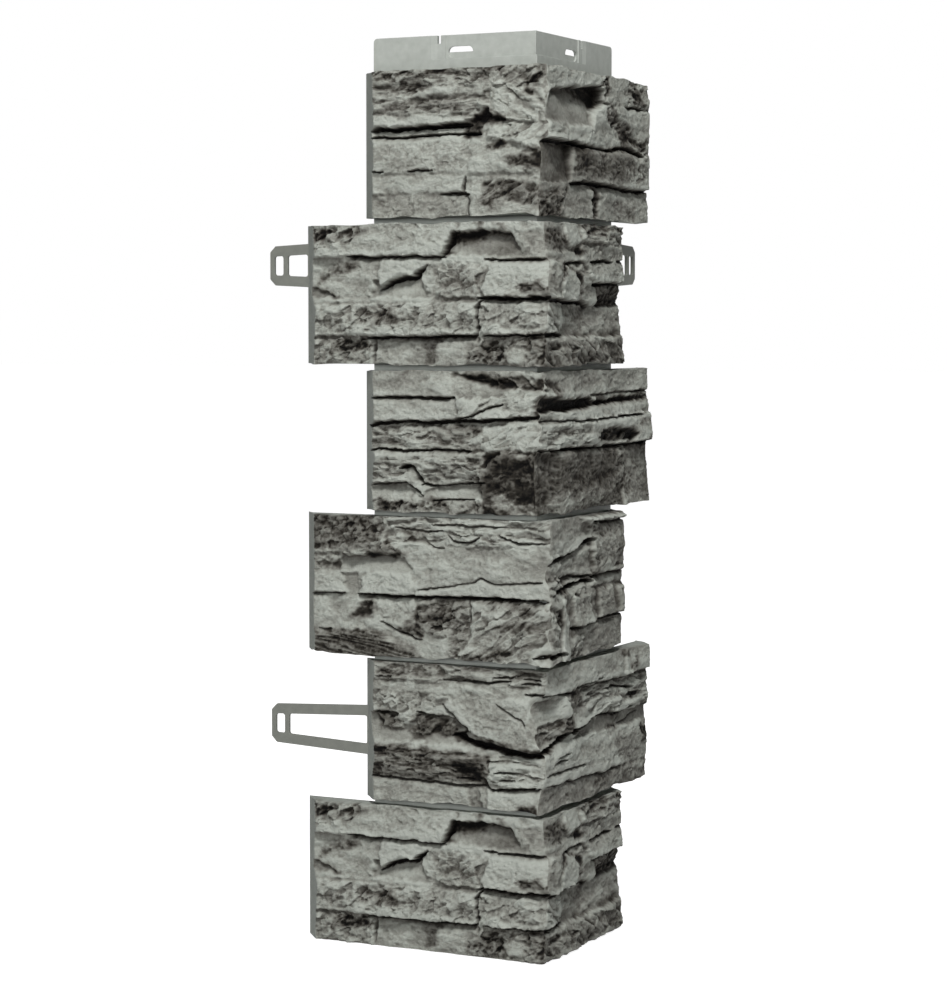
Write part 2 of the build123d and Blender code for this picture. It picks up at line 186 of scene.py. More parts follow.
A_LEFT = [
    ("smooth", 9.2, 0, 0, 0.12, box(-100, 20, 0, 73)),
    ("layer", 9.6, 0, -0.06, 0.34, [(-100, 73), (-18, 73), (-18, 61), (-19, 52), (-29, 47), (-100, 45.5)]),
    ("layer", 10.4, 0, -0.05, 0.42, [(-100, 58), (-55, 58), (-20, 56), (-19, 51), (-30, 49.5), (-47, 51),
     (-100, 51.5)]),
    ("smooth", 11.2, 0, -0.06, 0.1, [(-100, 51.5), (-47, 50.5), (-38, 48.5), (-30, 46), (-30, 45), (-100, 45.5)]),
    ("smooth", 10.4, 0, -0.05, 0.12, [(-82, 57.5), (-82, 62), (-66, 59), (-58, 62), (-45, 64), (-22, 63),
     (-24, 58.5), (-45, 59)]),
    ("rough", 9.0, 0, -0.05, 0.26, [(-25, 73), (16, 73), (16, 62), (-17, 61.5), (-20, 66)]),
    ("chisel_down", 10.2, 0.02, -0.06, 0.1, [(-18.5, 62), (16, 62), (16, 44), (-8, 45.5), (-13, 48), (-18, 53)]),
    ("grain", 9.8, 0, -0.03, 0.2, [(-100, 40), (-48, 40), (-48, 22), (-100, 22)]),
    ("grain", 9.4, 0, -0.03, 0.14, [(-48, 40), (-29, 39.5), (-30, 22), (-48, 22)]),
    ("smooth", 9.9, 0, -0.05, 0.1, [(-30, 39.5), (-20, 45), (16, 45), (16, 21), (-30, 21.5)]),
    ("chisel_up", 11.0, 0, -0.1, 0.14, [(-20, 43), (-5, 45), (16, 46), (16, 33), (4, 33), (-10, 37), (-21, 38)]),
    ("smooth", 9.0, 0, 0, 0.04, [(-100, 43), (-33, 43.4), (-30, 42), (-33, 40.8), (-100, 40.6)]),
    ("rough", 7.6, 0, 0, 0.82, [(-31, 46.5), (-19, 52), (-17, 49), (-9, 47), (-20, 45.5), (-25, 40.5), (-33, 39)]),
    ("slit", 2.9, 3.2, [(-84, 43.6), (-62, 44.3), (-45, 44.8), (-29, 45)]),
    ("slit", 1.0, 4.2, [(-84, 40.2), (-62, 40), (-50, 40.6), (-33, 40.4), (-24, 40.6)]),
    ("slit", 0.8, 6.4, [(-84, 23.6), (-77, 23.5)]),
    ("slit", 0.9, 6.4, [(-63, 23.4), (-57, 24.2), (-50, 23.8)]),
    ("smooth", 9.7, 0, -0.03, 0.1, [(-100, 22), (-47, 22), (-31, 20), (-31, 12.5), (-100, 12.5)]),
    ("grain", 8.8, 0, 0, 0.22, [(-100, 12.5), (-31, 12.5), (-31, 0), (-100, 0)]),
    ("smooth", 9.3, 0, 0, 0.12, [(-37, 9), (-32, 9), (-32, 4), (-37, 4)]),
    ("slit", 1.4, 4.6, [(-46, 12.2), (-40, 12.6), (-29.5, 12)]),
    ("slit", 1.1, 5.5, [(-33.4, 12.4), (-31.8, 20)]),
    ("slit", 0.8, 6.5, [(-30.4, 1), (-30.4, 12)]),
    ("smooth", 10.2, 0, -0.02, 0.1, [(-29.5, 21), (16, 20), (16, 0), (-29.5, 0)]),
    ("chisel_up", 9.6, 0, 0, 0.42, [(-22, 17), (-15, 18.5), (8, 15.5), (12, 10), (7, 5.5), (-8, 8.5), (-20, 6.5),
     (-25, 8)]),
    ("tone", 0.8, 0.9, [(-22, 16.2), (-15, 18), (-4, 17), (-9, 15), (-18, 15.2)]),
    ("tone", 0.8, 1.0, [(-22, 11.2), (-12, 13.6), (-3, 13.6), (-7, 10.8), (-15, 11.4)]),
    ("tone", 0.75, 0.9, [(-24, 7), (-17, 9), (-16.5, 8), (-21, 6.5)]),
    ("tone", 0.85, 1.2, [(-20, 35), (-14, 37), (-9, 36), (-9, 33.6), (-16, 34.2)]),
    # painted shadow: a dark band that widens towards the arris
    ("tone", 0.85, 2.2, [(-10, 28.5), (0, 29.5), (16, 36), (16, 22), (6, 24), (-8, 27)]),
    ("tone", 0.85, 0.8, [(-81, 69), (-71, 71.5), (-71, 70.5), (-80, 68)]),
    ("tone", 0.8, 1.0, [(-68, 69), (-56, 69.5), (-45, 71), (-44, 72), (-58, 70.5), (-68, 70.8)]),
    ("tone", 0.55, 1.6, [(-69, 61), (-57, 62), (-54, 69), (-66, 69.5)]),
    ("tone", 0.8, 1.0, [(-25, 71), (-14, 71.5), (-9, 69.5), (-13, 68.6), (-18, 70)]),
    ("tone", 0.85, 1.2, [(0, 64), (6, 69), (11, 69), (9, 66), (4, 63.6)]),
    ("tone", 0.7, 1.0, [(-3, 59), (2, 61.5), (5, 61), (3, 58.5)]),
]
A_RIGHT = [
    ("smooth", 9.2, 0, 0, 0.16, box(-20, 140, 0, 73)),
    ("plain", 6.4, -0.03, -0.28, 0.24, [(-14, 60), (5, 62.5), (30, 65.5), (56, 67), (63, 61), (50, 52.5),
     (49, 45.5), (-14, 45)]),
    # painted shadow under the overhanging ledge, in the top of the hollow
    ("tone", 0.92, 5.0, [(30, 65), (57, 67), (63, 60), (52, 55), (42, 60)]),
    ("smooth", 11.0, 0, -0.1, 0.14, [(-20, 73), (60, 73), (60, 66.5), (40, 65), (15, 63), (-5, 59.5), (-20, 58)]),
    ("rough", 9.8, 0, -0.03, 0.3, [(60, 73), (140, 73), (140, 58.5), (85, 58.5), (63, 59), (60, 66)]),
    ("smooth", 10.0, 0, -0.03, 0.18, [(68, 73), (93, 73), (93, 59), (68, 59)]),
    ("smooth", 10.4, 0.01, 0.03, 0.16, [(49, 53), (62, 58.5), (140, 58), (140, 36), (49, 36)]),
    ("rough", 9.2, 0, 0, 0.66, [(60, 55.5), (72, 58.5), (80, 52), (90, 50), (96, 45), (106, 41), (112, 37),
     (84, 36.5), (76, 46), (62, 50)]),
    ("smooth", 10.8, 0, 0, 0.12, [(49, 53), (60, 52), (72, 47), (82, 40), (74, 37), (20, 37), (20, 46), (48, 46)]),
    ("grain", 11.0, 0, -0.05, 0.2, [(-20, 45.5), (20, 45), (22, 37), (-20, 36.5)]),
    ("plain", 7.0, 0, -0.2, 0.5, [(-20, 36), (27, 36), (22, 18), (-20, 17)]),
    ("smooth", 9.0, 0, 0, 0.08, [(20, 18), (24, 18), (29, 36), (26, 36)]),
    ("grain", 11.2, 0, 0, 0.55, [(27, 36), (140, 36), (140, 17.5), (24, 18)]),
    ("tone", 0.9, 2.5, [(28, 36), (40, 36), (39, 27), (27, 27)]),
    ("tone", 0.2, 8.0, [(95, 34), (125, 34), (125, 19), (95, 19)]),
    ("slit", 2.2, 4.6, [(-16, 36), (0, 36.8), (25, 36.7), (38, 35.2)]),
    ("slit", 0.9, 6.4, [(38, 35.5), (76, 36)]),
    ("slit", 2.2, 5.4, [(72, 37.3), (90, 37.5), (108, 35)]),
    ("slit", 1.0, 6.2, [(86, 58.3), (110, 58.6)]),
    ("smooth", 9.2, 0, 0, 0.26, [(-20, 17), (140, 17), (140, 0), (-20, 0)]),
    ("rough", 9.6, 0, 0, 0.58, [(-20, 8), (-10, 11), (20, 15), (16, 5), (10, 0), (-20, 0)]),
    ("rough", 6.8, 0, 0, 0.75, [(43, 17), (54, 17), (54, 3), (45, 3)]),
    ("smooth", 9.0, 0, 0, 0.18, [(54, 17), (140, 16), (140, 0), (54, 0)]),
    ("tone", 0.5, 2.0, [(78, 12), (100, 11), (100, 5), (78, 5)]),
    ("slit", 1.9, 5.0, [(22, 17.5), (38, 18.2), (70, 18), (95, 16.8), (119, 17.5)]),
    ("tone", 0.85, 1.5, [(62, 72), (66, 72), (68, 66), (64, 63), (62, 66)]),
    ("tone", 0.85, 1.5, [(93, 71), (103, 71), (107, 62), (100, 60.5), (98, 66)]),
    ("tone", 0.85, 1.2, [(104, 39), (113, 44.5), (114, 43), (108, 39)]),
]
B_LEFT = [
    ("grain", 9.0, 0, 0, 0.12, box(-135, 20, 0, 73)),
    ("grain", 10.4, 0, -0.08, 0.12, [(-135, 73), (-37, 73), (-37.5, 65.5), (-43, 54), (-135, 53)]),
    ("rough", 10.2, 0, -0.08, 0.2, [(-135, 73), (-92, 73), (-90, 66), (-98, 59), (-112, 56), (-135, 56)]),
    ("plain", 6.6, 0, -0.3, 0.3, [(-43, 53.5), (-40, 60), (-37, 65.5), (-20, 65.8), (-7, 64), (-2, 57), (0, 52),
     (-42, 52)]),
    ("grain", 9.4, 0, -0.05, 0.26, [(-8, 64.5), (-2, 57), (0, 52), (16, 52), (16, 66)]),
    ("smooth", 9.8, 0, -0.05, 0.06, [(-37.5, 65.5), (-20, 66), (-7, 64.5), (16, 66), (16, 73), (-37, 73)]),
    ("smooth", 8.4, 0.03, 0, 0.12, [(-135, 53), (-79, 53), (-80, 33), (-135, 33)]),
    ("plain", 6.8, 0, -0.2, 0.1, [(-117, 39), (-108, 37.5), (-101, 33), (-117, 32)]),
    ("plain", 6.8, 0, -0.24, 0.12, [(-81, 42), (-56, 45), (-50, 33), (-82, 32.5)]),
    ("grain", 10.4, 0, -0.1, 0.07, [(-80, 53), (-53, 53), (-53, 50), (-57, 47), (-63, 43.4), (-68, 44.8),
     (-72, 43), (-79, 38)]),
    ("slit", 2.4, 3.6, [(-79.5, 37.4), (-72, 41.5), (-66, 43), (-60, 43.6), (-53, 49.5)]),
    ("rough", 9.8, 0, -0.05, 0.3, [(-53, 51), (-22, 51), (-20, 46), (-25, 38), (-23, 33.5), (-47, 33.5), (-52, 42)]),
    ("grain", 11.6, 0, -0.1, 0.1, [(-21, 51), (16, 51), (16, 33.5), (-23, 33.5), (-25, 38), (-20.5, 46)]),
    ("smooth", 9.6, 0, 0, 0.05, [(-42, 54), (-2, 52.5), (-20, 49), (-44, 50.5)]),
    ("rough", 11.2, 0, -0.1, 0.22, [(-135, 31), (-24.7, 32.5), (-24.7, 15), (-135, 15)]),
    ("smooth", 9.8, 0, 0, 0.06, [(-135, 34), (-50, 34), (-50, 31), (-135, 31)]),
    ("rough", 10.6, 0, -0.08, 0.28, [(-24.5, 32.5), (16, 32), (16, 15.5), (-24.5, 15.5)]),
    ("rough", 9.6, 0, 0, 0.24, [(-135, 15), (-82, 15), (-82, 0), (-135, 0)]),
    ("smooth", 8.2, 0, 0, 0.24, [(-82, 14.5), (-24, 15), (-24, 0), (-82, 0)]),
    ("smooth", 8.8, 0, 0, 0.2, [(-47, 12), (-26, 14), (-26, 1), (-51, 1)]),
    ("rough", 8.8, 0, 0, 0.42, [(-31, 6), (-22, 14.5), (16, 15), (16, 0), (-30, 0)]),
    ("smooth", 9.2, 0, 0, 0.1, [(-12, 9), (-4, 9), (2, 4), (0, 2), (-14, 2)]),
    ("slit", 1.1, 5.6, [(-96, 53.6), (-80, 53.2), (-62, 53.6), (-43, 53)]),
    ("slit", 2.0, 4.0, [(-45, 53.5), (-40.5, 59), (-39, 64.5), (-36.5, 65.5)]),
    ("slit", 1.2, 5.5, [(-22, 51.8), (-5, 51.6), (15, 51.6)]),
    ("slit", 2.0, 4.4, [(-25, 33.6), (-10, 33), (15, 33)]),
    ("slit", 1.6, 4.8, [(-86, 14.2), (-55, 14.6), (-28, 15.2), (-24.8, 15.8)]),
    ("slit", 1.1, 5.2, [(-25, 15), (-25, 29), (-23, 33)]),
    ("slit", 0.9, 6.0, [(-22, 15.5), (15, 16)]),
    ("slit", 0.8, 6.4, [(-82, 3), (-82, 14.5)]),
    ("tone", 0.8, 1.2, [(-116, 66), (-106, 66.5), (-107, 65), (-115, 62.5)]),
    ("tone", 0.5, 1.6, [(-107, 62), (-92, 67.5), (-88, 67), (-100, 62.5)]),
    ("tone", 0.82, 2.6, [(-42, 57), (-38, 65.5), (-12, 65.5), (-20, 62.5), (-34, 60)]),
    ("tone", 0.4, 2.6, [(-20, 53), (-6, 54), (-4, 58), (-14, 57)]),
    ("tone", 0.6, 2.2, [(-114, 41), (-102, 50.5), (-90, 51), (-98, 46), (-106, 44)]),
    ("tone", 0.5, 1.0, [(-116, 39), (-108, 38), (-101, 33.5), (-107, 36.5)]),
    ("tone", 0.6, 1.8, [(-84, 20), (-78, 28), (-66, 29), (-70, 21)]),
    ("tone", 0.55, 1.6, [(-93, 21), (-86, 29), (-84, 22)]),
    ("tone", 0.85, 1.2, [(-107, 6.5), (-102, 13.5), (-96, 11.5), (-85, 12.5), (-84, 9), (-95, 8.5), (-104, 6)]),
    ("tone", 0.6, 1.8, [(-54, 13.5), (-46, 13), (-49, 6), (-54, 4)]),
    ("tone", 0.7, 2.0, [(-30, 4), (-20, 12), (-10, 8), (-12, 4)]),
    ("tone", 0.75, 2.4, [(1, 13), (16, 14), (16, 4), (7, 4)]),
    ("tone", 0.88, 2.0, [(-11, 34), (2, 40), (16, 40), (16, 34)]),
    ("tone", 0.85, 0.8, [(-29, 68.8), (-22, 69), (-22, 67.8), (-29, 68)]),
    ("tone", 0.8, 0.8, [(-18, 68.8), (-12, 68), (-18, 67.4)]),
]
B_RIGHT = [
    ("smooth", 9.0, 0, 0, 0.2, box(-20, 110, 0, 73)),
    ("grain", 9.2, 0, -0.04, 0.36, [(-20, 66), (17, 66), (19, 60), (8, 55), (-20, 55)]),
    ("smooth", 10.2, 0, -0.08, 0.1, [(17, 61), (22, 57.5), (34, 60), (37, 73), (14, 73)]),
    ("layer", 10.8, 0, -0.06, 0.36, [(35, 73), (110, 73), (110, 60), (36, 60)]),
    ("smooth", 10.4, 0, 0, 0.12, [(-20, 56), (27, 56), (34, 52), (34, 50.5), (-20, 50.5)]),
    ("grain", 11.0, 0, -0.03, 0.28, [(34, 60.5), (110, 60.5), (110, 41), (46, 41), (36, 46)]),
    ("grain", 9.4, 0, 0, 0.3, [(-20, 50.5), (36, 50.5), (46, 41), (46, 31), (-20, 32)]),
    ("smooth", 11.0, 0, -0.05, 0.1, [(12, 44), (20, 49), (30, 45), (33.5, 40), (31, 34), (25, 32), (17, 32),
     (10, 36), (8, 42)]),
    ("smooth", 10.2, 0, 0, 0.12, [(34, 46), (46, 42), (46, 40), (34, 40)]),
    ("rough", 5.6, 0, 0.3, 0.64, [(46, 41), (110, 41), (110, 29), (46, 29)]),
    ("smooth", 7.4, 0, -0.1, 0.2, [(-20, 31), (110, 29), (110, 15), (-20, 15)]),
    ("chisel_down", 9.0, -0.05, -0.05, 0.1, [(-20, 31), (12, 30), (14, 18), (8, 17), (-20, 20)]),
    ("grain", 7.2, 0, -0.05, 0.36, [(48, 29), (110, 29), (110, 23), (50, 22.5)]),
    ("chisel_down", 11.4, 0, -0.05, 0.46, [(-20, 15), (110, 15), (110, 0), (-20, 0)]),
    ("slit", 2.3, 4.4, [(-16, 32.5), (8, 32.2), (18, 31.4), (40, 31), (46, 29)]),
    ("slit", 2.0, 4.4, [(-14, 16), (2, 16.6), (15, 15.6)]),
    ("slit", 1.2, 6.4, [(15, 50.2), (36, 50.6)]),
    ("slit", 1.4, 7.6, [(42, 51.2), (56, 52), (70, 51.6)]),
    ("slit", 1.2, 8.0, [(74, 52), (92, 52.2)]),
    ("slit", 1.4, 5.6, [(46, 40.4), (92, 41)]),
    ("tone", 0.7, 2.0, [(-8, 64.5), (16, 64.5), (18, 60), (8, 57), (-6, 60)]),
    ("tone", 0.75, 1.4, [(6, 43), (10, 49), (20, 49.5), (13, 45), (9, 42.5)]),
    ("tone", 0.85, 0.9, [(21, 48.6), (33, 45), (33, 40.5), (31.5, 43.6)]),
    ("tone", 0.85, 1.0, [(27, 54.6), (31, 57.6), (36, 57), (30, 54.6)]),
    ("tone", 0.85, 1.0, [(31, 36), (35, 37.4), (39, 36.4), (35, 35)]),
    ("tone", 0.8, 1.0, [(32, 33), (37, 34), (37, 32.4)]),
    ("tone", 0.5, 3.0, [(18, 27), (42, 28), (44, 21), (20, 22)]),
    ("tone", 0.8, 1.6, [(36, 6), (48, 8), (50, 7), (38, 5)]),
    ("tone", 0.75, 1.6, [(36, 66), (48, 69), (50, 67), (40, 65)]),
    ("tone", 0.75, 1.4, [(40, 62.4), (52, 61.2), (50, 63)]),
    ("tone", 0.8, 1.2, [(56, 66), (60, 65), (58, 64.4)]),
    ("tone", 0.8, 1.2, [(78, 69), (86, 66), (86, 64), (80, 66)]),
]
C_LEFT = [
    ("smooth", 9.2, 0, 0, 0.12, box(-105, 20, 0, 73)),
    ("smooth", 9.4, 0, -0.1, 0.2, [(-105, 73), (-37, 73), (-37, 56.5), (-105, 56.5)]),
    ("smooth", 8.6, 0, -0.1, 0.18, [(-40, 73), (16, 73), (16, 58), (-38, 56.5)]),
    ("chisel_down", 6.8, 0, -0.1, 0.72, [(-38, 68), (-25, 67), (-5, 66.5), (16, 66), (16, 60.5), (-10, 61.3),
     (-22, 63.2), (-30, 65.2)]),
    ("smooth", 10.6, 0, -0.1, 0.2, [(-105, 56), (-37, 56), (-36, 45.5), (-65, 45), (-105, 42)]),
    ("chisel_up", 11.0, 0, -0.1, 0.2, [(-38, 57), (-10, 57.5), (5, 57), (5, 47.5), (-36, 45.6)]),
    ("smooth", 7.2, 0, 0, 0.75, [(5, 46), (5, 55), (9, 57.5), (16, 57), (16, 46)]),
    ("layer", 9.2, 0, 0, 0.36, [(-105, 43), (-65, 45), (-28, 45), (-27, 31.5), (-105, 31)]),
    ("chisel_up", 10.2, 0.05, -0.16, 0.1, [(-31, 40), (-25, 44.5), (-4, 46.5), (16, 47), (16, 31), (-20, 31),
     (-29, 35)]),
    ("layer", 10.0, 0, 0.03, 0.36, [(-105, 31), (-22, 31), (-22, 15), (-54, 14.4), (-57, 20), (-60, 23.5),
     (-105, 23)]),
    ("layer", 10.4, 0, 0.02, 0.34, [(-105, 24), (-66, 24), (-61, 22), (-57, 15), (-64, 15.2), (-105, 14)]),
    ("plain", 7.4, 0, -0.42, 0.0, [(-105, 13.6), (-65, 14.6), (-60, 12), (-56, 8.6), (-66, 7.4), (-105, 7.4)]),
    ("plain", 7.4, 0, -0.42, 0.0, [(-56, 8.4), (-52, 11.5), (-47, 14.2), (-22, 15.2), (-21, 9), (-40, 7.4),
     (-56, 7)]),
    ("rough", 9.4, 0, -0.05, 0.34, [(-105, 7.5), (-66, 7), (-56, 7), (-40, 7.4), (-21, 8), (-20, 0), (-105, 0)]),
    ("grain", 10.4, 0, 0.16, 0.82, [(-25, 20), (-18, 28.5), (-12, 30.8), (16, 30.5), (16, 0), (-23, 0)]),
    ("tone", 0.94, 2.2, [(-25, 20), (-18, 28.5), (-12, 30.5), (-4, 30), (-10, 26), (-18, 23)]),
    ("tone", 0.9, 2.6, [(-12, 22), (0, 29), (6, 30), (6, 20), (-4, 14)]),
    ("tone", 0.32, 3.0, [(-16, 9), (0, 8), (2, 2), (-16, 2)]),
    ("tone", 0.82, 1.6, [(-78, 6), (-66, 6.6), (-66, 4), (-76, 3.6)]),
    ("tone", 0.7, 1.6, [(-65, 7), (-56, 6), (-56, 3), (-65, 3)]),
    ("tone", 0.8, 1.6, [(-50, 6.8), (-43, 6.6), (-43, 4.4), (-50, 4.6)]),
    ("tone", 0.6, 2.0, [(-30, 7), (-20, 8), (-20, 2), (-26, 3)]),
    ("tone", 0.5, 2.4, [(-31, 29), (-22, 30), (-22, 17), (-30, 17)]),
    ("tone", 0.1, 0.8, [(-5, 66), (4, 66), (4, 65), (-5, 65)]),
    ("tone", 0.6, 1.2, [(-37, 42.5), (-24, 43), (-24, 40), (-30, 40)]),
    ("slit", 1.3, 4.8, [(-85, 56), (-60, 56.3), (-37, 56.6)]),
    ("slit", 1.7, 4.4, [(-88, 42.6), (-65, 44.8), (-50, 44.2), (-30, 45.6), (5, 47.6), (10, 50)]),
    ("slit", 0.7, 7.0, [(-38, 46), (-28, 48.4), (-20, 51.6), (-12, 53.6)]),
    ("slit", 1.0, 6.0, [(-87, 31), (-66, 31), (-48, 31.3), (-29, 31.2)]),
    ("slit", 1.6, 5.2, [(-68, 22.6), (-62, 23.8), (-58.5, 20.5), (-55, 14.6)]),
    ("slit", 1.2, 4.8, [(-83, 14), (-64, 15.3), (-60, 13), (-55.5, 9)]),
    ("slit", 1.0, 4.8, [(-56, 14.3), (-40, 14.8), (-28, 15.6), (-21, 16)]),
    ("slit", 0.8, 6.6, [(-50, 7), (-40, 7.4), (-28, 8)]),
]
C_RIGHT = [
    ("smooth", 9.6, 0, 0, 0.2, box(-20, 140, 0, 73)),
    ("smooth", 9.8, 0, -0.04, 0.2, [(-20, 73), (140, 73), (140, 57.5), (-20, 57)]),
    ("chisel_down", 9.2, 0, 0, 0.4, [(-20, 66), (8, 65), (10, 60), (-20, 61)]),
    # a real recess, coloured dark as painted shadow in it
    ("smooth", 6.4, 0.03, 0, 0.85, [(-20, 57), (-5, 57.5), (10, 55.4), (36, 55.6), (44, 54.2), (140, 57),
     (140, 54.8), (60, 52.4), (40, 51.4), (28, 49.4), (10, 50), (-20, 50)]),
    ("smooth", 10.6, 0.01, -0.1, 0.14, [(-20, 50), (22, 49.6), (40, 51.4), (140, 52.4), (140, 45.8), (-20, 45.8)]),
    ("layer", 11.2, 0, 0, 0.2, [(-20, 45.6), (52, 45.6), (52, 32.4), (-20, 32.4)]),
    ("smooth", 13.2, 0.03, 0.04, 0.18, [(50, 46), (140, 47.5), (140, 32), (50, 32.4)]),
    ("rough", 9.6, 0, 0.1, 0.85, [(50, 36), (53, 38.8), (65, 41.2), (72, 41.4), (84, 39.8), (97, 37), (92, 33.4),
     (80, 33.6), (60, 34)]),
    ("smooth", 11.2, 0, 0, 0.2, [(56, 34.6), (76, 33.8), (90, 32), (52, 32)]),
    ("grain", 9.6, 0, 0.05, 0.58, [(-20, 31.4), (86, 31.6), (86, 0), (-20, 0)]),
    ("grain", 10.0, 0.02, -0.1, 0.4, [(86, 32), (140, 33), (140, 0), (86, 0)]),
    ("slit", 1.1, 5.8, [(-20, 32.2), (10, 31.6), (52, 31.8)]),
    ("slit", 1.6, 7.0, [(52, 31.6), (80, 31.4), (112, 32.2)]),
    ("slit", 0.7, 8.0, [(-10, 45.8), (40, 45.2), (80, 45.8), (110, 46.4)]),
    ("slit", 0.7, 7.6, [(44, 57.2), (80, 58), (122, 58)]),
    ("tone", 0.85, 2.0, [(109, 34), (120, 38.4), (126, 37), (118, 31), (108, 29)]),
    ("tone", 0.7, 1.6, [(85, 10), (90, 10), (88, 21), (85, 21)]),
    ("tone", 0.75, 2.4, [(74, 28), (84, 28), (84, 24), (74, 24)]),
    ("tone", 0.7, 1.6, [(42, 28), (49, 29), (49, 25), (43, 25)]),
    ("tone", 0.65, 1.8, [(8, 22), (28, 25), (30, 22), (12, 20)]),
    ("tone", 0.3, 3.0, [(0, 9), (30, 8), (60, 6), (60, 1), (0, 1)]),
    ("tone", 0.7, 1.2, [(22, 13), (34, 12), (33, 10.6), (24, 11)]),
    ("tone", 0.6, 1.2, [(38, 63.6), (50, 66), (51, 65), (40, 62.8)]),
    ("tone", 0.65, 1.2, [(100, 43.4), (112, 43), (110, 42), (100, 42.2)]),
    ("tone", 0.6, 1.2, [(96, 55.4), (118, 56.6), (117, 54), (98, 54)]),
    ("tone", 0.55, 1.4, [(0, 44.2), (16, 44), (22, 40), (4, 41)]),
]
D_LEFT = [
    ("smooth", 9.2, 0, 0, 0.1, box(-135, 20, -1, 73)),
    ("rough", 10.2, 0, -0.06, 0.52, [(-135, 73), (-72, 73), (-76, 57), (-68, 51), (-135, 50)]),
    ("rough", 8.8, 0, 0, 0.36, [(-135, 50), (-97, 50), (-101, 42), (-135, 42)]),
    ("plain", 7.4, 0, -0.4, 0.08, [(-99, 49.4), (-68, 50.6), (-62, 46), (-60.5, 42), (-92, 41.6), (-101, 43)]),
    ("layer", 9.4, 0, -0.06, 0.16, [(-74, 73), (16, 73), (16, 57), (-48, 55), (-62, 56), (-70, 52), (-76, 57)]),
    ("smooth", 9.6, 0, -0.02, 0.16, [(-62, 46), (-68, 51.5), (-50, 56), (16, 57), (16, 39), (-24, 40), (-60, 34)]),
    ("smooth", 10.4, 0, -0.05, 0.16, [(-60, 34), (-50, 35.6), (-38, 37), (-23, 41), (-18, 38.6), (16, 40.5),
     (16, 31.4), (-60, 31.4)]),
    ("grain", 9.8, 0, -0.08, 0.08, [(-135, 41.6), (-101, 41.6), (-97, 35), (-94, 31), (-135, 30.6)]),
    ("plain", 8.0, 0, -0.14, 0.2, [(-100, 41), (-91, 41), (-90, 31), (-95, 31)]),
    ("grain", 10.8, 0, -0.08, 0.07, [(-90, 40), (-86, 42), (-63, 42), (-61, 39), (-61, 31.4), (-90.5, 31)]),
    ("smooth", 9.0, 0, -0.03, 0.1, [(-135, 30.4), (-80, 30.6), (-80, 17), (-88, 13), (-135, 11)]),
    ("grain", 9.4, 0, 0, 0.1, [(-81, 30.4), (-57, 30.6), (-58, 20), (-66, 14.6), (-78, 18)]),
    ("smooth", 9.0, 0, 0.04, 0.06, [(-94, 19), (-80, 19.4), (-66, 13.4), (-56, 11), (-57, 3), (-64, 6.6), (-80, 13)]),
    ("groove", 9.4, 0, 0.12, 0.6, [(-135, 9.6), (-117, 10.4), (-85, 13), (-78, 11.4), (-62, 6), (-56, 3),
     (-57, 0), (-135, 0)]),
    ("rough", 9.0, 0, 0, 0.4, [(-57, 31), (-29.5, 31), (-29.5, 0), (-42, 0), (-42, 12), (-57, 13)]),
    ("smooth", 8.8, 0, 0, 0.06, [(-57, 13), (-42, 11.6), (-40, 0), (-57, 0)]),
    ("chisel_up", 10.6, 0.02, -0.03, 0.22, [(-29.5, 31), (16, 31), (16, 0), (-40, 0), (-30, 12)]),
    ("slit", 1.0, 5.8, [(-120, 30), (-108, 30.6), (-99, 31)]),
    ("slit", 1.5, 4.8, [(-91, 31), (-80, 30.6), (-40, 31.2), (-15, 31.8), (12, 31.4)]),
    ("slit", 0.6, 7.4, [(-58, 34.2), (-50, 35.6), (-38, 37), (-29, 38.8), (-23.5, 41.2), (-17, 38.6), (0, 39.6),
     (9, 40.6)]),
    ("slit", 1.0, 7.0, [(-71, 64), (-60, 63), (-52, 62.6), (-44, 63.8)]),
    ("slit", 0.8, 7.4, [(-57, 59.6), (-53, 57), (-50, 55.6), (-44, 55)]),
    ("slit", 0.8, 7.0, [(-41, 61), (-37, 58.4), (-30, 58.6), (-24, 61)]),
    ("slit", 0.8, 7.0, [(-14, 62), (-5, 59), (12, 59)]),
    ("slit", 0.6, 7.6, [(-50, 66.4), (-20, 66), (5, 66.4)]),
    ("slit", 0.7, 7.2, [(-113, 12.6), (-106, 13)]),
    ("slit", 0.7, 6.8, [(-30, 20), (-30, 31)]),
    ("slit", 0.9, 6.8, [(-79, 18), (-70, 14.4), (-60, 11), (-56, 10.4)]),
    ("slit", 1.6, 5.6, [(6, 5), (10, 5.4), (16, 7)]),
    ("tone", 0.9, 1.8, [(-84, 51), (-76, 57), (-66, 51)]),
    ("tone", 0.78, 2.0, [(-100, 66), (-88, 67), (-80, 60), (-92, 60)]),
    ("rough", 7.0, 0.1, -0.25, 0.56, [(-93.5, 20), (-88, 25.6), (-83, 28.4), (-80.5, 25), (-82, 21.4), (-86, 20.6)]),
    # painted shadow in a hollow beside the slit
    ("tone", 0.82, 1.4, [(-68, 14.6), (-59, 20), (-58, 26), (-56.5, 26), (-56.5, 11.4), (-64, 13)]),
    ("tone", 0.8, 1.6, [(-116, 10), (-92, 12.6), (-84, 13), (-80, 11), (-90, 9.6), (-112, 8.6)]),
    ("tone", 0.75, 1.8, [(-54, 21), (-46, 24), (-38, 25), (-42, 20), (-46, 16)]),
    ("tone", 0.6, 1.8, [(-52, 19), (-43, 15), (-42, 12.6), (-50, 14)]),
    ("tone", 0.62, 1.6, [(-28, 30), (-4, 30.5), (8, 28), (2, 25), (-14, 27)]),
    ("tone", 0.6, 1.6, [(-20, 18), (-4, 22), (8, 18), (0, 17)]),
    ("tone", 0.7, 1.4, [(-28, 3), (-12, 7.4), (-8, 6), (-22, 2)]),
    ("tone", 0.5, 1.6, [(-38, 4), (-30, 6), (-28, 1), (-36, 1)]),
    ("tone", 0.55, 1.8, [(-66, 62), (-52, 63), (-52, 60), (-64, 59)]),
    ("tone", 0.4, 1.6, [(-28, 60.6), (-14, 61.4), (-8, 58.4), (-26, 57.4)]),
]
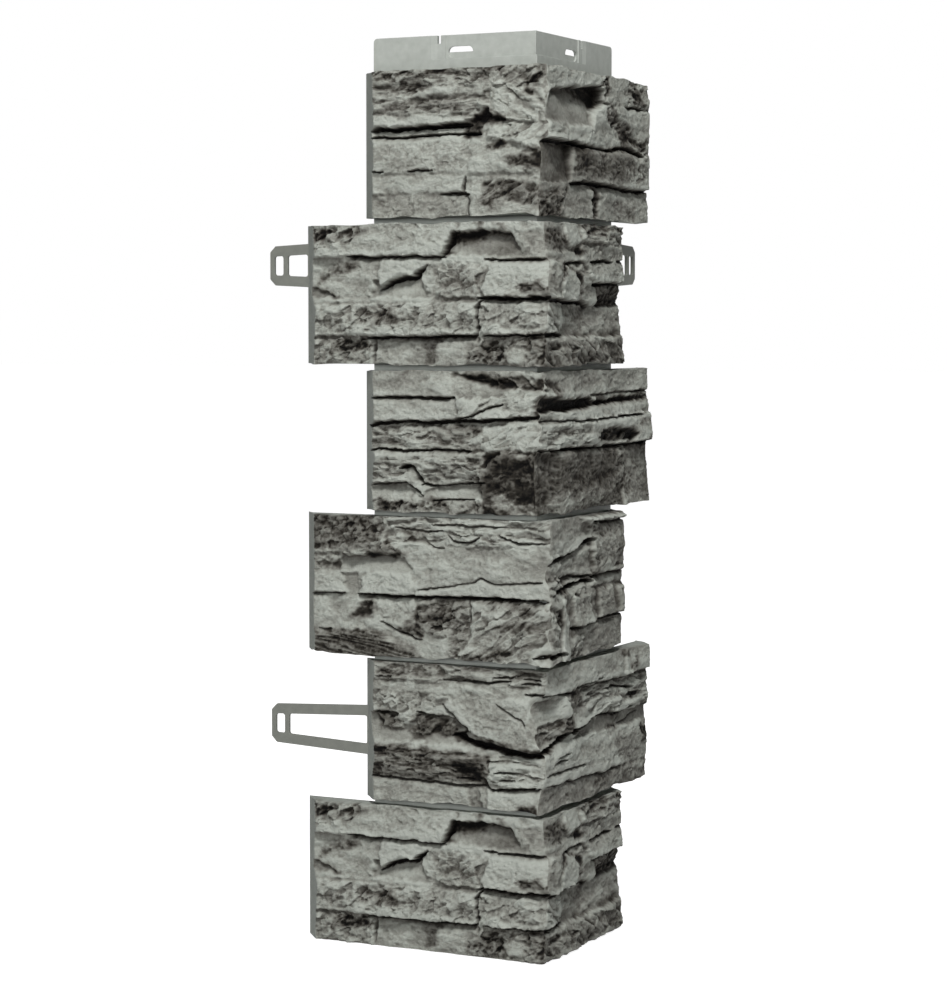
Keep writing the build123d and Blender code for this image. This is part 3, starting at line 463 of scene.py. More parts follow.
D_RIGHT = [
    ("smooth", 9.4, 0, 0, 0.3, box(-20, 110, -1, 73)),
    ("smooth", 10.2, 0, -0.06, 0.22, [(-20, 73), (46, 73), (46, 58), (20, 53), (-20, 50)]),
    ("grain", 12.2, 0, 0, 0.38, [(45, 65.6), (110, 65.6), (110, 40.8), (45, 40)]),
    ("smooth", 14.6, 0, 0, 0.24, [(43, 68.6), (110, 68.6), (110, 66.4), (70, 66.8), (60, 65.8), (44, 67)]),
    ("smooth", 9.8, 0, -0.05, 0.26, [(-20, 50), (0, 49.6), (20, 50.6), (44, 56), (46, 40.6), (20, 42), (-20, 42)]),
    ("layer", 9.2, 0, 0.02, 0.32, [(-20, 42), (20, 42), (46, 39), (46, 33.6), (-20, 33.6)]),
    ("smooth", 10.6, 0, -0.12, 0.14, [(45, 38), (60, 39.6), (110, 39.6), (110, 34), (45, 34)]),
    ("smooth", 10.4, 0, 0, 0.32, [(-20, 33.6), (110, 34), (110, 15.8), (-20, 15.8)]),
    ("rough", 7.4, 0, 0, 0.7, [(20, 32), (27, 31), (28, 16), (20, 16)]),
    ("grain", 12.2, 0, 0, 0.34, [(27, 31), (49, 31), (50, 16.4), (28, 16)]),
    ("rough", 8.6, 0, 0, 0.82, [(49, 31.6), (57, 31), (58, 18), (51, 18)]),
    ("grain", 12.6, 0, 0, 0.42, [(57, 32), (75, 33), (76, 18), (58, 18)]),
    ("rough", 9.2, 0, 0, 0.88, [(75, 32.4), (82, 31), (83, 19), (77, 19)]),
    ("grain", 12.8, 0, 0, 0.4, [(82, 33), (110, 32), (110, 18.6), (83, 18.6)]),
    ("smooth", 10.2, 0, 0, 0.34, [(20, 15.8), (50, 16), (110, 17), (110, 0), (18, 0)]),
    ("rough", 10.0, 0, 0, 0.34, [(21, 12), (38, 12), (36, 2), (22, 1)]),
    ("rough", 8.8, 0, 0, 0.5, [(-20, 31), (3, 27), (11, 31), (11, 8), (-20, 10)]),
    ("chisel_down", 10.6, 0, 0, 0.24, [(-20, 30), (-2, 25), (6, 14), (8, 7), (-20, 7)]),
    ("smooth", 11.6, 0, 0, 0.08, [(11, 32), (17, 32), (20, 14), (22, 0), (9, 0), (11, 12)]),
    ("slit", 2.4, 4.4, [(-8, 48.4), (0, 50.6), (10, 51), (20, 52), (34, 56), (46, 58)]),
    ("slit", 1.2, 8.4, [(43, 66.6), (52, 66), (60, 65.2), (70, 65.8), (92, 65.4)]),
    ("slit", 1.0, 6.4, [(-4, 36), (4, 39.8), (14, 41.4), (30, 41), (44, 39.6)]),
    ("slit", 1.9, 5.4, [(-6, 34), (14, 36.4), (34, 38), (46, 37)]),
    ("slit", 1.0, 7.0, [(45, 38.6), (60, 40), (84, 39.8)]),
    ("slit", 0.9, 7.4, [(19, 16), (34, 15.8), (52, 16.6)]),
    ("slit", 1.3, 6.6, [(51, 17.6), (70, 18), (87, 18)]),
    ("slit", 2.2, 4.6, [(-16, 5.2), (0, 5.2), (10, 5)]),
    ("tone", 0.82, 1.8, [(8, 36), (18, 36.4), (18, 32.6), (10, 32.4)]),
    ("tone", 0.8, 1.8, [(45, 50), (50, 48), (50, 41), (45, 40.6)]),
    ("tone", 0.7, 1.4, [(66, 51), (74, 52), (77, 49), (70, 50)]),
    ("tone", 0.75, 1.2, [(66, 44), (82, 44.6), (80, 42.4), (70, 42.6)]),
    ("tone", 0.8, 1.0, [(40, 63.6), (46, 64.4), (46, 62.6)]),
    ("tone", 0.6, 1.6, [(52, 62), (66, 62), (64, 59), (52, 59.6)]),
]
E_LEFT = [
    ("smooth", 9.2, 0, 0, 0.2, box(-105, 20, -1, 73)),
    ("layer", 8.8, 0, -0.08, 0.32, [(-105, 73), (16, 73), (16, 60), (-105, 61)]),
    ("smooth", 9.6, 0, -0.04, 0.2, [(-105, 61), (16, 60), (16, 55), (-105, 55)]),
    ("smooth", 10.0, 0, 0, 0.02, [(-79, 60), (-70.5, 60), (-70, 56.6), (-78, 57)]),
    ("smooth", 10.0, 0, 0, 0.02, [(-64, 60), (-60, 60), (-60, 57), (-64, 57)]),
    ("smooth", 10.0, 0, 0, 0.02, [(-52, 60), (-44, 59.6), (-44, 57), (-52, 57)]),
    ("smooth", 10.2, 0, 0, 0.02, [(-33, 60.6), (-18, 59), (-18, 57), (-34, 57)]),
    ("rough", 9.4, 0, -0.05, 0.2, [(-105, 55.6), (-40, 55), (-38, 44), (-54, 46), (-105, 45)]),
    ("plain", 7.6, 0, -0.22, 0.12, [(-105, 45), (-38, 44), (-30, 38), (-38, 30), (-105, 29)]),
    ("rough", 8.0, 0, 0.05, 0.62, [(-80, 45), (-69, 44.2), (-64, 41), (-66, 38), (-78, 37)]),
    ("rough", 9.6, 0, 0, 0.26, [(-70, 50), (-58, 47), (-54, 44), (-58, 38), (-66, 40), (-70, 44)]),
    ("rough", 8.0, 0, 0.05, 0.6, [(-57, 45.6), (-39, 43.6), (-36, 40), (-38, 36), (-58, 35), (-62, 38)]),
    ("grain", 10.2, 0, -0.1, 0.1, [(-56, 47), (-46, 49.6), (-39, 44.4), (-54, 45.4)]),
    ("grain", 11.2, 0.02, -0.06, 0.17, [(-45, 50), (-36, 55.6), (-3, 56), (4, 52), (16, 50), (16, 31), (-10, 31),
     (-30, 37.6), (-37, 44)]),
    ("smooth", 10.2, 0, -0.14, 0.05, [(-105, 32), (-38, 31.6), (-20, 30), (16, 28), (16, 27), (-105, 27.8)]),
    ("layer", 10.0, 0, 0.14, 0.58, [(-105, 28.4), (-40, 27.8), (-21, 26.6), (-19, 12), (-105, 13)]),
    ("layer", 11.0, 0, -0.03, 0.14, [(-21, 27), (16, 27.6), (16, 12.6), (-20, 12)]),
    ("smooth", 9.2, 0, -0.02, 0.2, [(-105, 12.8), (-20, 11.6), (-20, -1), (-105, -1)]),
    ("smooth", 7.8, 0, 0, 0.24, [(-30, 11.6), (-24, 11.6), (-22, -1), (-28, -1)]),
    ("smooth", 10.6, 0, -0.03, 0.1, [(-20, 11.2), (16, 12.6), (16, -1), (-21, -1)]),
    ("slit", 3.8, 4.2, [(-38, 36.4), (-28, 32.8), (-18, 31), (-8, 29.2), (6, 28.6), (15, 30)]),
    ("slit", 1.2, 5.6, [(-45.5, 50), (-38, 44.4), (-33, 39.2), (-31, 38.6), (-39, 35.4)]),
    ("slit", 1.0, 6.4, [(-81, 45.2), (-69, 44)]),
    ("slit", 1.0, 6.4, [(-59, 46.6), (-54, 45.2), (-39, 43.6)]),
    ("slit", 0.9, 6.0, [(-86, 13), (-60, 12.4), (-36, 11.8), (-20, 12.2)]),
    ("slit", 1.3, 5.4, [(-20, 12.4), (-17.6, 11), (-4, 11.8), (9, 13)]),
    ("slit", 0.4, 9.2, [(-15, 52), (-8, 48), (-2, 46), (0, 42.6)]),
    ("slit", 0.9, 7.0, [(-45, 62.4), (-24, 62.4), (-8, 63.4)]),
    ("slit", 1.0, 7.0, [(-17, 65), (-8, 65.2), (-5, 66.4)]),
    ("slit", 1.2, 6.4, [(-2, 64.4), (8, 64.6)]),
    ("slit", 1.0, 6.4, [(-2, 62.4), (8, 62.6)]),
    ("slit", 1.6, 6.0, [(0, 57.6), (14, 57.4)]),
    ("slit", 0.7, 8.0, [(-20, 24.6), (-8, 25.2), (6, 24)]),
    ("slit", 0.7, 8.2, [(-16, 19), (-4, 19.6), (10, 18)]),
    ("slit", 0.7, 8.2, [(-14, 15.6), (-6, 16.2)]),
    # painted shadow: a soft dark crescent along the wide slit under the big stone
    ("tone", 0.8, 1.8, [(-44, 39), (-32, 36), (-18, 34), (-6, 32.4), (12, 33), (12, 29.5), (-8, 28.6), (-20, 30),
     (-32, 32.6), (-44, 36)]),
    ("tone", 0.9, 1.2, [(-82, 27.6), (-42, 27), (-41, 25), (-82, 24.6)]),
    ("tone", 0.8, 1.2, [(-37, 25), (-21, 26.4), (-21, 24.8), (-34, 24)]),
    ("tone", 0.85, 1.8, [(-38, 21), (-26, 22.4), (-22, 16), (-34, 14)]),
    ("tone", 0.6, 1.6, [(-80, 65), (-72, 66), (-67, 62), (-74, 60.6)]),
    ("tone", 0.85, 1.4, [(-6, 0), (-4, 3), (7, 3.6), (7, 0)]),
    ("tone", 0.6, 1.6, [(-62, 36), (-54, 37), (-52, 34), (-60, 33.6)]),
]
E_RIGHT = [
    ("smooth", 9.4, 0, 0, 0.18, box(-20, 140, -1, 73)),
    ("smooth", 10.6, 0, -0.06, 0.16, [(-20, 73), (91, 73), (91, 56.4), (-20, 56)]),
    ("grain", 12.2, 0.02, -0.06, 0.22, [(91, 73), (140, 73), (140, 57.4), (91, 57)]),
    ("smooth", 11.4, 0, -0.04, 0.08, [(-20, 56), (20, 55.6), (24, 49), (25, 44), (10, 42.6), (-20, 40)]),
    ("rough", 9.0, 0, 0, 0.6, [(21, 56), (34, 56.4), (42, 53), (40, 47), (26, 47.6), (23, 50)]),
    ("layer", 9.2, 0, 0, 0.22, [(34, 56.6), (140, 57), (140, 40), (60, 41), (46, 44), (38, 47)]),
    ("smooth", 10.2, 0, -0.1, 0.06, [(24, 44), (36, 42.6), (48, 40), (44, 37.4), (28, 37), (24.5, 40)]),
    ("rough", 10.0, 0, 0, 0.4, [(-20, 40), (10, 42.6), (24, 44), (24, 37), (10, 34), (-20, 30)]),
    ("plain", 7.2, 0, -0.1, 0.34, [(44, 37), (60, 40.6), (80, 38), (140, 40), (140, 31), (20, 32)]),
    ("smooth", 9.8, 0, -0.02, 0.1, [(-20, 30), (20, 32.4), (70, 30), (140, 31), (140, 12.6), (60, 11), (20, 12.6),
     (-20, 13)]),
    ("grain", 9.8, 0, 0, 0.34, [(78, 28), (140, 29), (140, 12), (84, 11)]),
    ("smooth", 9.0, 0, 0.02, 0.36, [(-20, 12.8), (20, 12.4), (60, 10.8), (140, 11), (140, -1), (-20, -1)]),
    ("grain", 9.2, 0, 0, 0.4, [(72, 11), (140, 11), (140, 2), (74, 2)]),
    ("slit", 3.8, 4.2, [(-14, 29.4), (0, 31), (12, 34), (26, 36), (44, 36.8), (58, 40.4)]),
    ("slit", 1.6, 5.4, [(56, 40), (62, 40.4), (80, 37.8), (92, 38.6)]),
    ("slit", 0.8, 6.6, [(80, 34), (90, 39), (98, 40)]),
    ("slit", 0.9, 6.4, [(82, 33), (94, 33.4), (100, 35.4), (110, 36)]),
    ("slit", 0.9, 7.2, [(-14, 57), (10, 56), (24, 55.4)]),
    ("slit", 0.8, 7.4, [(28, 57.2), (46, 57.8), (60, 58.6)]),
    ("slit", 0.7, 7.4, [(40, 56), (80, 56), (104, 57)]),
    ("slit", 1.2, 6.4, [(66, 52.4), (76, 52.8), (86, 51), (96, 50)]),
    ("slit", 0.8, 7.4, [(-6, 13), (20, 12.8), (44, 11.8), (62, 10.8), (84, 10.8)]),
    ("slit", 0.8, 7.6, [(-6, 18.6), (16, 18.4), (40, 18)]),
    ("slit", 1.0, 7.0, [(4, 23.4), (18, 23.8)]),
    ("slit", 0.8, 7.4, [(6, 26), (20, 26.2)]),
    ("tone", 0.9, 1.6, [(12, 40), (23, 44), (26, 42), (25, 36), (12, 34)]),
    ("tone", 0.94, 1.6, [(109, 29), (118, 28), (116, 21), (109, 19.6)]),
    ("tone", 0.8, 1.2, [(82, 67.6), (90, 68.4), (90, 65.8), (84, 66)]),
    ("tone", 0.75, 1.4, [(92, 62), (98, 64), (100, 60), (93, 59)]),
    ("tone", 0.7, 1.4, [(94, 47.6), (104, 47.6), (104, 45), (96, 45)]),
    ("tone", 0.8, 1.2, [(108, 39.6), (114, 42), (116, 40), (110, 38.8)]),
    ("tone", 0.8, 1.6, [(70, 33), (78, 33), (80, 31), (72, 30.8)]),
    ("tone", 0.6, 1.6, [(50, 8), (66, 8), (68, 6), (54, 6)]),
]

# How far the outer edge stands out from the right wall plane, as (height, reach)
A_EDGE = [(0, 7.5), (18, 7.5), (22, 8.2), (36, 8.4), (38, 12), (45, 12), (47, 10), (60, 10), (62, 10.6), (72, 10.6)]
B_EDGE = [(0, 9.6), (15, 10), (17, 11), (31, 11.6), (33.5, 13.6), (50, 13.6), (52, 10.6), (64, 10), (70, 10)]
C_EDGE = [(0, 5.2), (29, 5.2), (32, 8.6), (44, 8.6), (46.5, 5.2), (55, 5.2), (57.5, 8.2), (70, 8.2)]
D_EDGE = [(0, 13.6), (30, 13.8), (32, 12.8), (40, 12.8), (43, 10.6), (55, 12.4), (58, 13.2), (70, 13.2)]
E_EDGE = [(0, 8.4), (12, 8.4), (13.5, 10), (27, 10), (31, 6.8), (40, 6), (54, 3.6), (56, 8), (57.5, 10.6), (70, 10.6)]

# From the foot up: the stones of both legs, the outer edge, and whether the left leg is the long one
LAYOUT = [
    (B_LEFT, B_RIGHT, B_EDGE, True),
    (E_LEFT, E_RIGHT, E_EDGE, False),
    (D_LEFT, D_RIGHT, D_EDGE, True),
    (C_LEFT, C_RIGHT, C_EDGE, False),
    (B_LEFT, B_RIGHT, B_EDGE, True),
    (A_LEFT, A_RIGHT, A_EDGE, False),
]


# Height fields

def textures(s, z, seed):
    """Surface textures in millimetres, for a whole leg."""
    def turned(angle):
        c, n = math.cos(angle), math.sin(angle)
        return s * c + z * n, z * c - s * n

    def chips(x, y, number):
        return facets(x, y, seed + number)

    def creases(x, y, number):
        """Crumpled skin: sharp crests between rounded hollows."""
        crests = 0.6 - np.abs(noise(x, y, seed + number)) * 1.3
        return crests + 0.5 * (0.6 - np.abs(noise(2.1 * x, 2.1 * y, seed + number + 3)) * 1.3)

    def chisel(angle, number):
        u, v = turned(angle)
        u, v = u + 0.6 * (bend_s - s), v + 0.6 * (bend_z - z)
        return (swell + 1.1 * chips(u / 9, v / 3.8, number) + 0.55 * creases(u / 9, v / 3.2, number + 9)
                + 0.35 * chips(u / 3.4, v / 1.7, number + 4))

    fine = 0.16 * chips(s / 1.9, z / 1.4, 95) + 0.14 * noise(s / 1.1, z / 0.9, seed + 90)
    swell = fbm(s / 15, z / 9, seed + 80, 3)
    bend_s = s + 2.5 * noise(s / 7, z / 6, seed + 81)
    bend_z = z + 1.8 * noise(s / 7, z / 6, seed + 82)
    terraces = fbm(s / 17, z / 4.2, seed + 40, 3) * 2.4
    terraces = np.floor(terraces) + ramp(0.55, 1.0, terraces - np.floor(terraces))
    u, v = turned(-0.14)
    a, b = turned(0.35)
    ridges = np.abs(((v / 2.0 + 0.7 * noise(u / 13, v / 3, seed + 70)) % 1.0) - 0.5) * 2
    return {
        "smooth": swell + 0.3 * fbm(s / 5, z / 3.4, seed + 10, 3) + 0.2 * creases(bend_s / 3.8, bend_z / 2.5, 15)
        + 0.22 * chips(bend_s / 4.5, bend_z / 2.8, 17) + fine,
        "plain": 0.35 * swell + 0.12 * fbm(s / 6, z / 4, seed + 12, 3) + 0.5 * fine,
        "grain": swell + 0.36 * creases(bend_s / 3.8, bend_z / 2.7, 20) + 0.34 * chips(bend_s / 3.2, bend_z / 2.1, 25)
        + fine,
        "rough": 1.4 * swell + chips(a / 6, b / 3.6, 30) + 0.6 * creases(bend_s / 5.2, bend_z / 3.2, 35)
        + 0.4 * chips(a / 2.7, b / 1.7, 38) + fine,
        "layer": 1.2 * swell + 0.5 * terraces + 0.7 * chips(bend_s / 8, bend_z / 2.4, 45)
        + 0.6 * creases(bend_s / 9, bend_z / 2.6, 48) + fine,
        "chisel_up": chisel(0.5, 50) + fine,
        "chisel_down": chisel(-0.5, 60) + fine,
        "groove": swell + 0.6 * ridges + 0.3 * chips(u / 6, v / 1.2, 75) + fine,
    }


# How much a texture's hollows darken
WASH = {"plain": 0.06, "smooth": 0.15, "grain": 0.18, "rough": 0.2, "layer": 0.25,
        "chisel_up": 0.24, "chisel_down": 0.24, "groove": 0.3}


def leg_field(stones, left, length, low, high, seed, edge=None):
    """Depth and darkness of a leg's stone face on an even grid. Columns run along the leg, rows upwards."""
    steps, spare = int(round(length / STEP)), int(SPARE / STEP)
    s = (np.arange(-steps, spare + 1) if left else np.arange(-spare, steps + 1)) * (length / steps)
    z = np.linspace(low, high, int(round((high - low) / STEP)) + 1)
    S, Z = np.meshgrid(s, z)
    warp_s = S + 0.8 * noise(S / 5, Z / 5, seed) + 0.4 * noise(S / 1.7, Z / 1.7, seed + 1)
    warp_z = Z + 0.45 * noise(S / 6, Z / 5, seed + 2) + 0.3 * noise(S / 1.6, Z / 1.6, seed + 3)
    skin = textures(S if left else S / RIGHT_STRETCH, Z, seed + 5)
    depth, dark, wash, cut = (np.full(S.shape, start) for start in (8.0, 0.2, 0.3, 0.0))

    def shown(points, d):
        """Where an outline lies on the leg, when it is read on the plane at READ and its face is at d."""
        move = (LEFT_SHIFT if left else RIGHT_SHIFT) * (READ - d)
        return [(x + move, y) for x, y in points]

    def window(points, margin):
        xs, ys = zip(*points)
        j = slice(*np.searchsorted(s, (min(xs) - margin, max(xs) + margin)))
        i = slice(*np.searchsorted(z, (min(ys) - margin, max(ys) + margin)))
        return i, j

    def cut_slit(width, floor, line):
        line = shown(line, MARK)
        w = window(line, 2 * width + 4)
        far, ends, above = along(line, warp_s[w], warp_z[w])
        half = 0.5 * width * (0.2 + 0.8 * ends) * (1 + 0.5 * noise(S[w] / 5, Z[w] / 3, seed + 7))
        mask = 1 - ramp(0.3 * half, half + 0.3, far)
        slope = (1 - ramp(half, 3 * half + 1.2, far)) * (above < 0) * ends
        reach = np.maximum(mask, 0.3 * slope)
        depth[w] = depth[w] + reach * np.minimum(0, floor - depth[w])
        # Slits are coloured near black: partly the dark toning paint, partly painted shadow inside them.
        black = 1 - ramp(0.4 * half, half + 0.25, far + 0.25 * noise(S[w] / 1.6, Z[w] / 1.2, seed + 6))
        cut[w] = np.maximum(cut[w], black * (0.3 + 0.7 * ends) * min(1.0, 0.32 + 0.34 * width))

    # A patch of toning paint; some patches are painted shade in hollows and under ledges.
    def tone_and_shade_patch(amount, soft, outline):
        outline = shown(outline, MARK)
        w = window(outline, 4 * soft + 3)
        soft = 1.5 * soft
        ragged = 0.7 * soft * fbm(S[w] / 4, Z[w] / 2.6, seed + 8, 3)
        mask = ramp(-soft, soft, signed(outline, warp_s[w], warp_z[w]) + ragged)
        dark[w] = dark[w] + mask * (0.95 * amount ** 1.35 - dark[w])
        wash[w] = wash[w] + mask * (0.42 - wash[w]) * 0.6

    def lay_stone(kind, d, slope_s, slope_z, amount, outline):
        outline = shown(outline, d)
        w = window(outline, 6)
        near = signed(outline, warp_s[w], warp_z[w])
        mid_s, mid_z = (0.5 * (max(values) + min(values)) for values in zip(*outline))
        plane = d + np.clip(slope_s * (S[w] - mid_s), -2, 2) + slope_z * (Z[w] - mid_z) + skin[kind][w]
        plane = plane - 0.3 * (1 - ramp(0, 1.8, near)) ** 2
        mask = ramp(-1.1, 1.1, near + 0.7 * noise(S[w] / 2.2, Z[w] / 1.5, seed + 9))
        depth[w] = depth[w] + mask * (plane - depth[w])
        faded = ramp(-3.2, 3.2, near + 2.2 * fbm(S[w] / 6, Z[w] / 4, seed + 13, 3))
        dark[w] = dark[w] + faded * (amount ** 1.2 - dark[w])
        wash[w] = wash[w] + faded * (WASH[kind] - wash[w])
        cut[w] = cut[w] * (1 - mask)

    for kind, *values in stones:
        if kind == "slit":
            cut_slit(*values)
        elif kind == "tone":
            tone_and_shade_patch(*values)
        else:
            lay_stone(kind, *values)

    if edge:
        reach = np.interp(warp_z[:, :1], *zip(*edge))
        here = np.median(blur(depth, 1.5)[:, (s > -12) & (s < 2)], axis=1, keepdims=True)
        depth = depth + (reach - here) * (1 - ramp(-3, 18, S))
    depth = np.clip(depth, LEAST_REACH, MOST_REACH)
    pits = blur(depth, 0.75) - depth + 0.75 * (blur(depth, 1.8) - depth)
    # painted shade and light: broad hollows are coloured darker and broad bulges a little lighter, standing in for the
    # shade they get
    wide = blur(depth, 4.0) - depth
    # painted shade: slopes that face downwards are coloured darker
    under = np.gradient(depth, axis=0) / (z[1] - z[0])
    tone = 0.05 + dark + wash * (0.6 + 0.8 * dark) * np.clip(1.2 * pits, -0.5, 0.9) + 0.09 * np.clip(wide, -2, 4)
    tone = tone + 0.18 * ramp(0.3, 1.6, under) + 0.1 * noise(S / 1.4, Z / 1.1, seed + 11) * (0.3 + dark)
    tone = tone + (0.06 + 0.12 * dark) * fbm(S / 13, Z / 8, seed + 12, 4)
    # slits near black, partly toning paint and partly painted shadow
    tone = np.maximum(tone, 0.98 * cut)
    return s, z, depth, np.clip(tone, 0, 1)


def sample(field, s, column):
    """Values of a field's rows at one place along the leg for each row."""
    t = np.clip((column - s[0]) / (s[1] - s[0]), 0, len(s) - 1.001)
    j = t.astype(int)
    rows = np.arange(field.shape[0])
    return field[rows, j] * (1 - (t - j)) + field[rows, j + 1] * (t - j)


# Meshes

def make_object(name, points, faces, smooth, material, attributes=None, uv=None):
    mesh = bpy.data.meshes.new(name)
    mesh.from_pydata((np.asarray(points) * MM).tolist(), [], faces)
    for key, values in (attributes or {}).items():
        layer = mesh.attributes.new(key, "FLOAT", "POINT")
        layer.data.foreach_set("value", np.asarray(values, np.float32))
    if uv is not None:
        corners = np.zeros(len(mesh.loops), np.int32)
        mesh.loops.foreach_get("vertex_index", corners)
        layer = mesh.uv_layers.new(name="OFBake")
        layer.data.foreach_set("uv", np.asarray(uv, np.float32)[corners].ravel())
    mesh.validate()
    mesh.polygons.foreach_set("use_smooth", np.ones(len(mesh.polygons), bool))
    mesh.set_sharp_from_angle(angle=math.radians(smooth))
    mesh.materials.append(material)
    ob = bpy.data.objects.new(name, mesh)
    bpy.context.scene.collection.objects.link(ob)
    return ob


FIRST_SEED = 1000
TWINS = (0, 4)  # these two courses are alike
BACK_MARGIN = 3.4  # the back keeps clear of hollows in the face that are this near
SHEET = 180.0  # side of the bake layout
RIGHT_ROW, BACK_ROW = 75, 150  # where the right half of the face and the back begin in it
BACK_SHRINK = (0.42, 0.35)


def course(number):
    """One course of stones: its face round the corner, its bevelled ends, its ledges and its hollow back."""
    left_stones, right_stones, edge_line, long_left = LAYOUT[number]
    left_length, right_length = (WIDE, NARROW) if long_left else (NARROW, WIDE)
    low = 0.0 if number == 0 else HALF_GROOVE
    high = PITCH + TOP_LIP if number == COURSES - 1 else PITCH - HALF_GROOVE
    seed = FIRST_SEED if number in TWINS else FIRST_SEED + 137 * number
    ls, z, lh, lt = leg_field(left_stones, True, left_length, low, high, seed)
    rs, _, rh, rt = leg_field(right_stones, False, right_length, low, high, seed + 500, edge_line)

    # The outer edge, where both faces meet
    edge_x, edge_y = np.full(len(z), 10.0), np.full(len(z), 10.0)
    smooth_l, smooth_r = blur(lh, 0.8), blur(rh, 0.8)
    for _ in range(4):
        edge_y = 0.5 * edge_y + 0.5 * sample(smooth_l, ls, edge_x)
        edge_x = 0.5 * edge_x + 0.5 * sample(smooth_r, rs, -edge_y)
    rounding = 2.8 + 2.0 * noise(z / 11, z * 0, seed + 77)

    def filled(value):
        return np.full(len(z), value)

    def trimmed(heights, to_end):
        """A column's depth where the bevel trims it, and how bare its plastic is."""
        limit = to_end / BEVEL
        return np.minimum(heights, limit), ramp(-0.15, 0.25, heights - limit)

    def bent(field, tones, places, sign, k, edge_along, edge_reach):
        """A column's place, depth and tone on the corner, at the share k of the way to the outer edge."""
        far = k * edge_along
        h = sample(field, places, sign * far)
        h = h + ramp(0.55, 1, filled(k)) * (edge_reach - h)
        drop = 0.41 * rounding * np.clip(1 - (edge_along - far) / rounding, 0, 1) ** 2 * 0.7
        return far - drop, h - drop, sample(tones, places, sign * far)

    lc, rc = ls[ls < -0.01], rs[rs > 0.01]
    first_right = len(rs) - len(rc)
    n_left, n_corner = len(lc), int(11 / STEP)
    n_mid = 2 * n_corner + 1
    t = np.linspace(0, 1, n_corner + 1)
    columns = []  # x, y, tone, bare plastic, place in the flat layout
    for j, s in enumerate(lc):
        h, bare = trimmed(lh[:, j], s + left_length)
        columns.append((filled(s), -h, lt[:, j], bare, filled(s)))
    for k in t:
        place, h, tone = bent(lh, lt, ls, 1, k, edge_x, edge_y)
        columns.append((place, -h, tone, filled(0.0), filled(CORNER * k)))
    for k in t[::-1][1:]:
        place, h, tone = bent(rh, rt, rs, -1, k, edge_y, edge_x)
        columns.append((h, -place, tone, filled(0.0), filled(CORNER * (2 - k))))
    for j, s in enumerate(rc, first_right):
        h, bare = trimmed(rh[:, j], right_length - s)
        columns.append((h, filled(s), rt[:, j], bare, filled(2 * CORNER + s)))

    x, y, tone, bare, flat = (np.stack(values, 1) for values in zip(*columns))
    rows, cols = x.shape
    base = number * PITCH
    lower = 0.0 if number == 0 else 0.9 * fbm(flat[:1] / 13, 0 * flat[:1], seed + 61, 3)
    upper = 0.5 * fbm(flat[:1] / 10, 0 * flat[:1], seed + 62, 3)
    level = z[:, None]
    zz = level + base + lower * (1 - ramp(0, 5, level - low)) + upper * (1 - ramp(0, 5, high - level))
    zz = np.broadcast_to(zz, x.shape)
    outer = np.stack([x, y, zz], 2).reshape(-1, 3)
    ids = np.arange(rows * cols).reshape(rows, cols)
    faces = np.stack([ids[:-1, :-1], ids[:-1, 1:], ids[1:, 1:], ids[1:, :-1]], 2).reshape(-1, 4).tolist()

    # Hollow back on a coarser grid of the same columns and rows
    hl, hr = lowest(lh, BACK_MARGIN) - WALL, lowest(rh, BACK_MARGIN) - WALL
    inner_x, inner_y = (np.maximum(0.4, lowest(e[:, None], BACK_MARGIN)[:, 0] - 1.4 * WALL) for e in (edge_x, edge_y))
    half = max(1, int(round(RIB_HALF / STEP)))
    edge = int(round(WALL * (1 + BEVEL) / STEP))
    keep = set(range(0, cols, 5)) | {0, cols - 1, edge, edge + 1, cols - 2 - edge, cols - 1 - edge}
    keep = {c for c in keep if not n_left <= c < n_left + n_mid}
    keep |= {n_left, n_left + n_corner, n_left + n_mid - 1}
    rib_columns = set()
    for side, length, places, offset in ((-1, left_length, lc, 0), (1, right_length, rc, n_left + n_mid)):
        for n in range(1, int((length - RIB_SPACING / 2) / RIB_SPACING) + 1):
            rib = offset + int(np.argmin(np.abs(places - side * n * RIB_SPACING)))
            keep |= {rib - half - 1, rib - half, rib + half, rib + half + 1}
            rib_columns |= set(range(rib - half, rib + half + 1))
    keep = sorted(keep)
    lip = int(round(WALL / STEP))
    levels = sorted(set(range(0, rows, 6)) | {0, lip, lip + 1, rows - 2 - lip, rows - 1 - lip, rows - 1})

    def back(i, c, closed):
        """Where the back lies behind one place of the face."""
        if n_left <= c < n_left + n_mid:
            if closed:
                return 0.0, 0.0
            if c == n_left:
                return 0.0, -hl[i, n_left]
            if c == n_left + n_corner:
                return inner_x[i], -inner_y[i]
            return hr[i, first_right], 0.0
        if c < n_left:
            s, d = lc[c], hl[i, c]
            to_end = s + left_length
        else:
            j = c - n_left - n_mid
            s, d = rc[j], hr[i, first_right + j]
            to_end = right_length - s
        d = 0.0 if closed else max(0.0, min(d, to_end / BEVEL - WALL * (1 + BEVEL) / BEVEL))
        if c in rib_columns:
            d = min(d, RIB_SETBACK)
        return (s, -d) if c < n_left else (d, s)

    inner, inner_ids = [], {}
    for i in levels:
        closed = i <= lip or i >= rows - 1 - lip
        for c in keep:
            key = (i, n_left) if closed and n_left <= c < n_left + n_mid else (i, c)
            if key not in inner_ids:
                inner_ids[key] = len(outer) + len(inner)
                inner.append((*back(i, c, closed), z[i] + base))
            inner_ids[i, c] = inner_ids[key]
        # At both ends the back meets the face in one line
        inner_ids[i, 0], inner_ids[i, cols - 1] = int(ids[i, 0]), int(ids[i, cols - 1])
    inner = np.array(inner)

    def add_face(*runs):
        corners = [int(v) for run in runs for v in run]
        clean = [v for n, v in enumerate(corners) if v != corners[n - 1]]
        if len(set(clean)) >= 3:
            faces.append(clean)

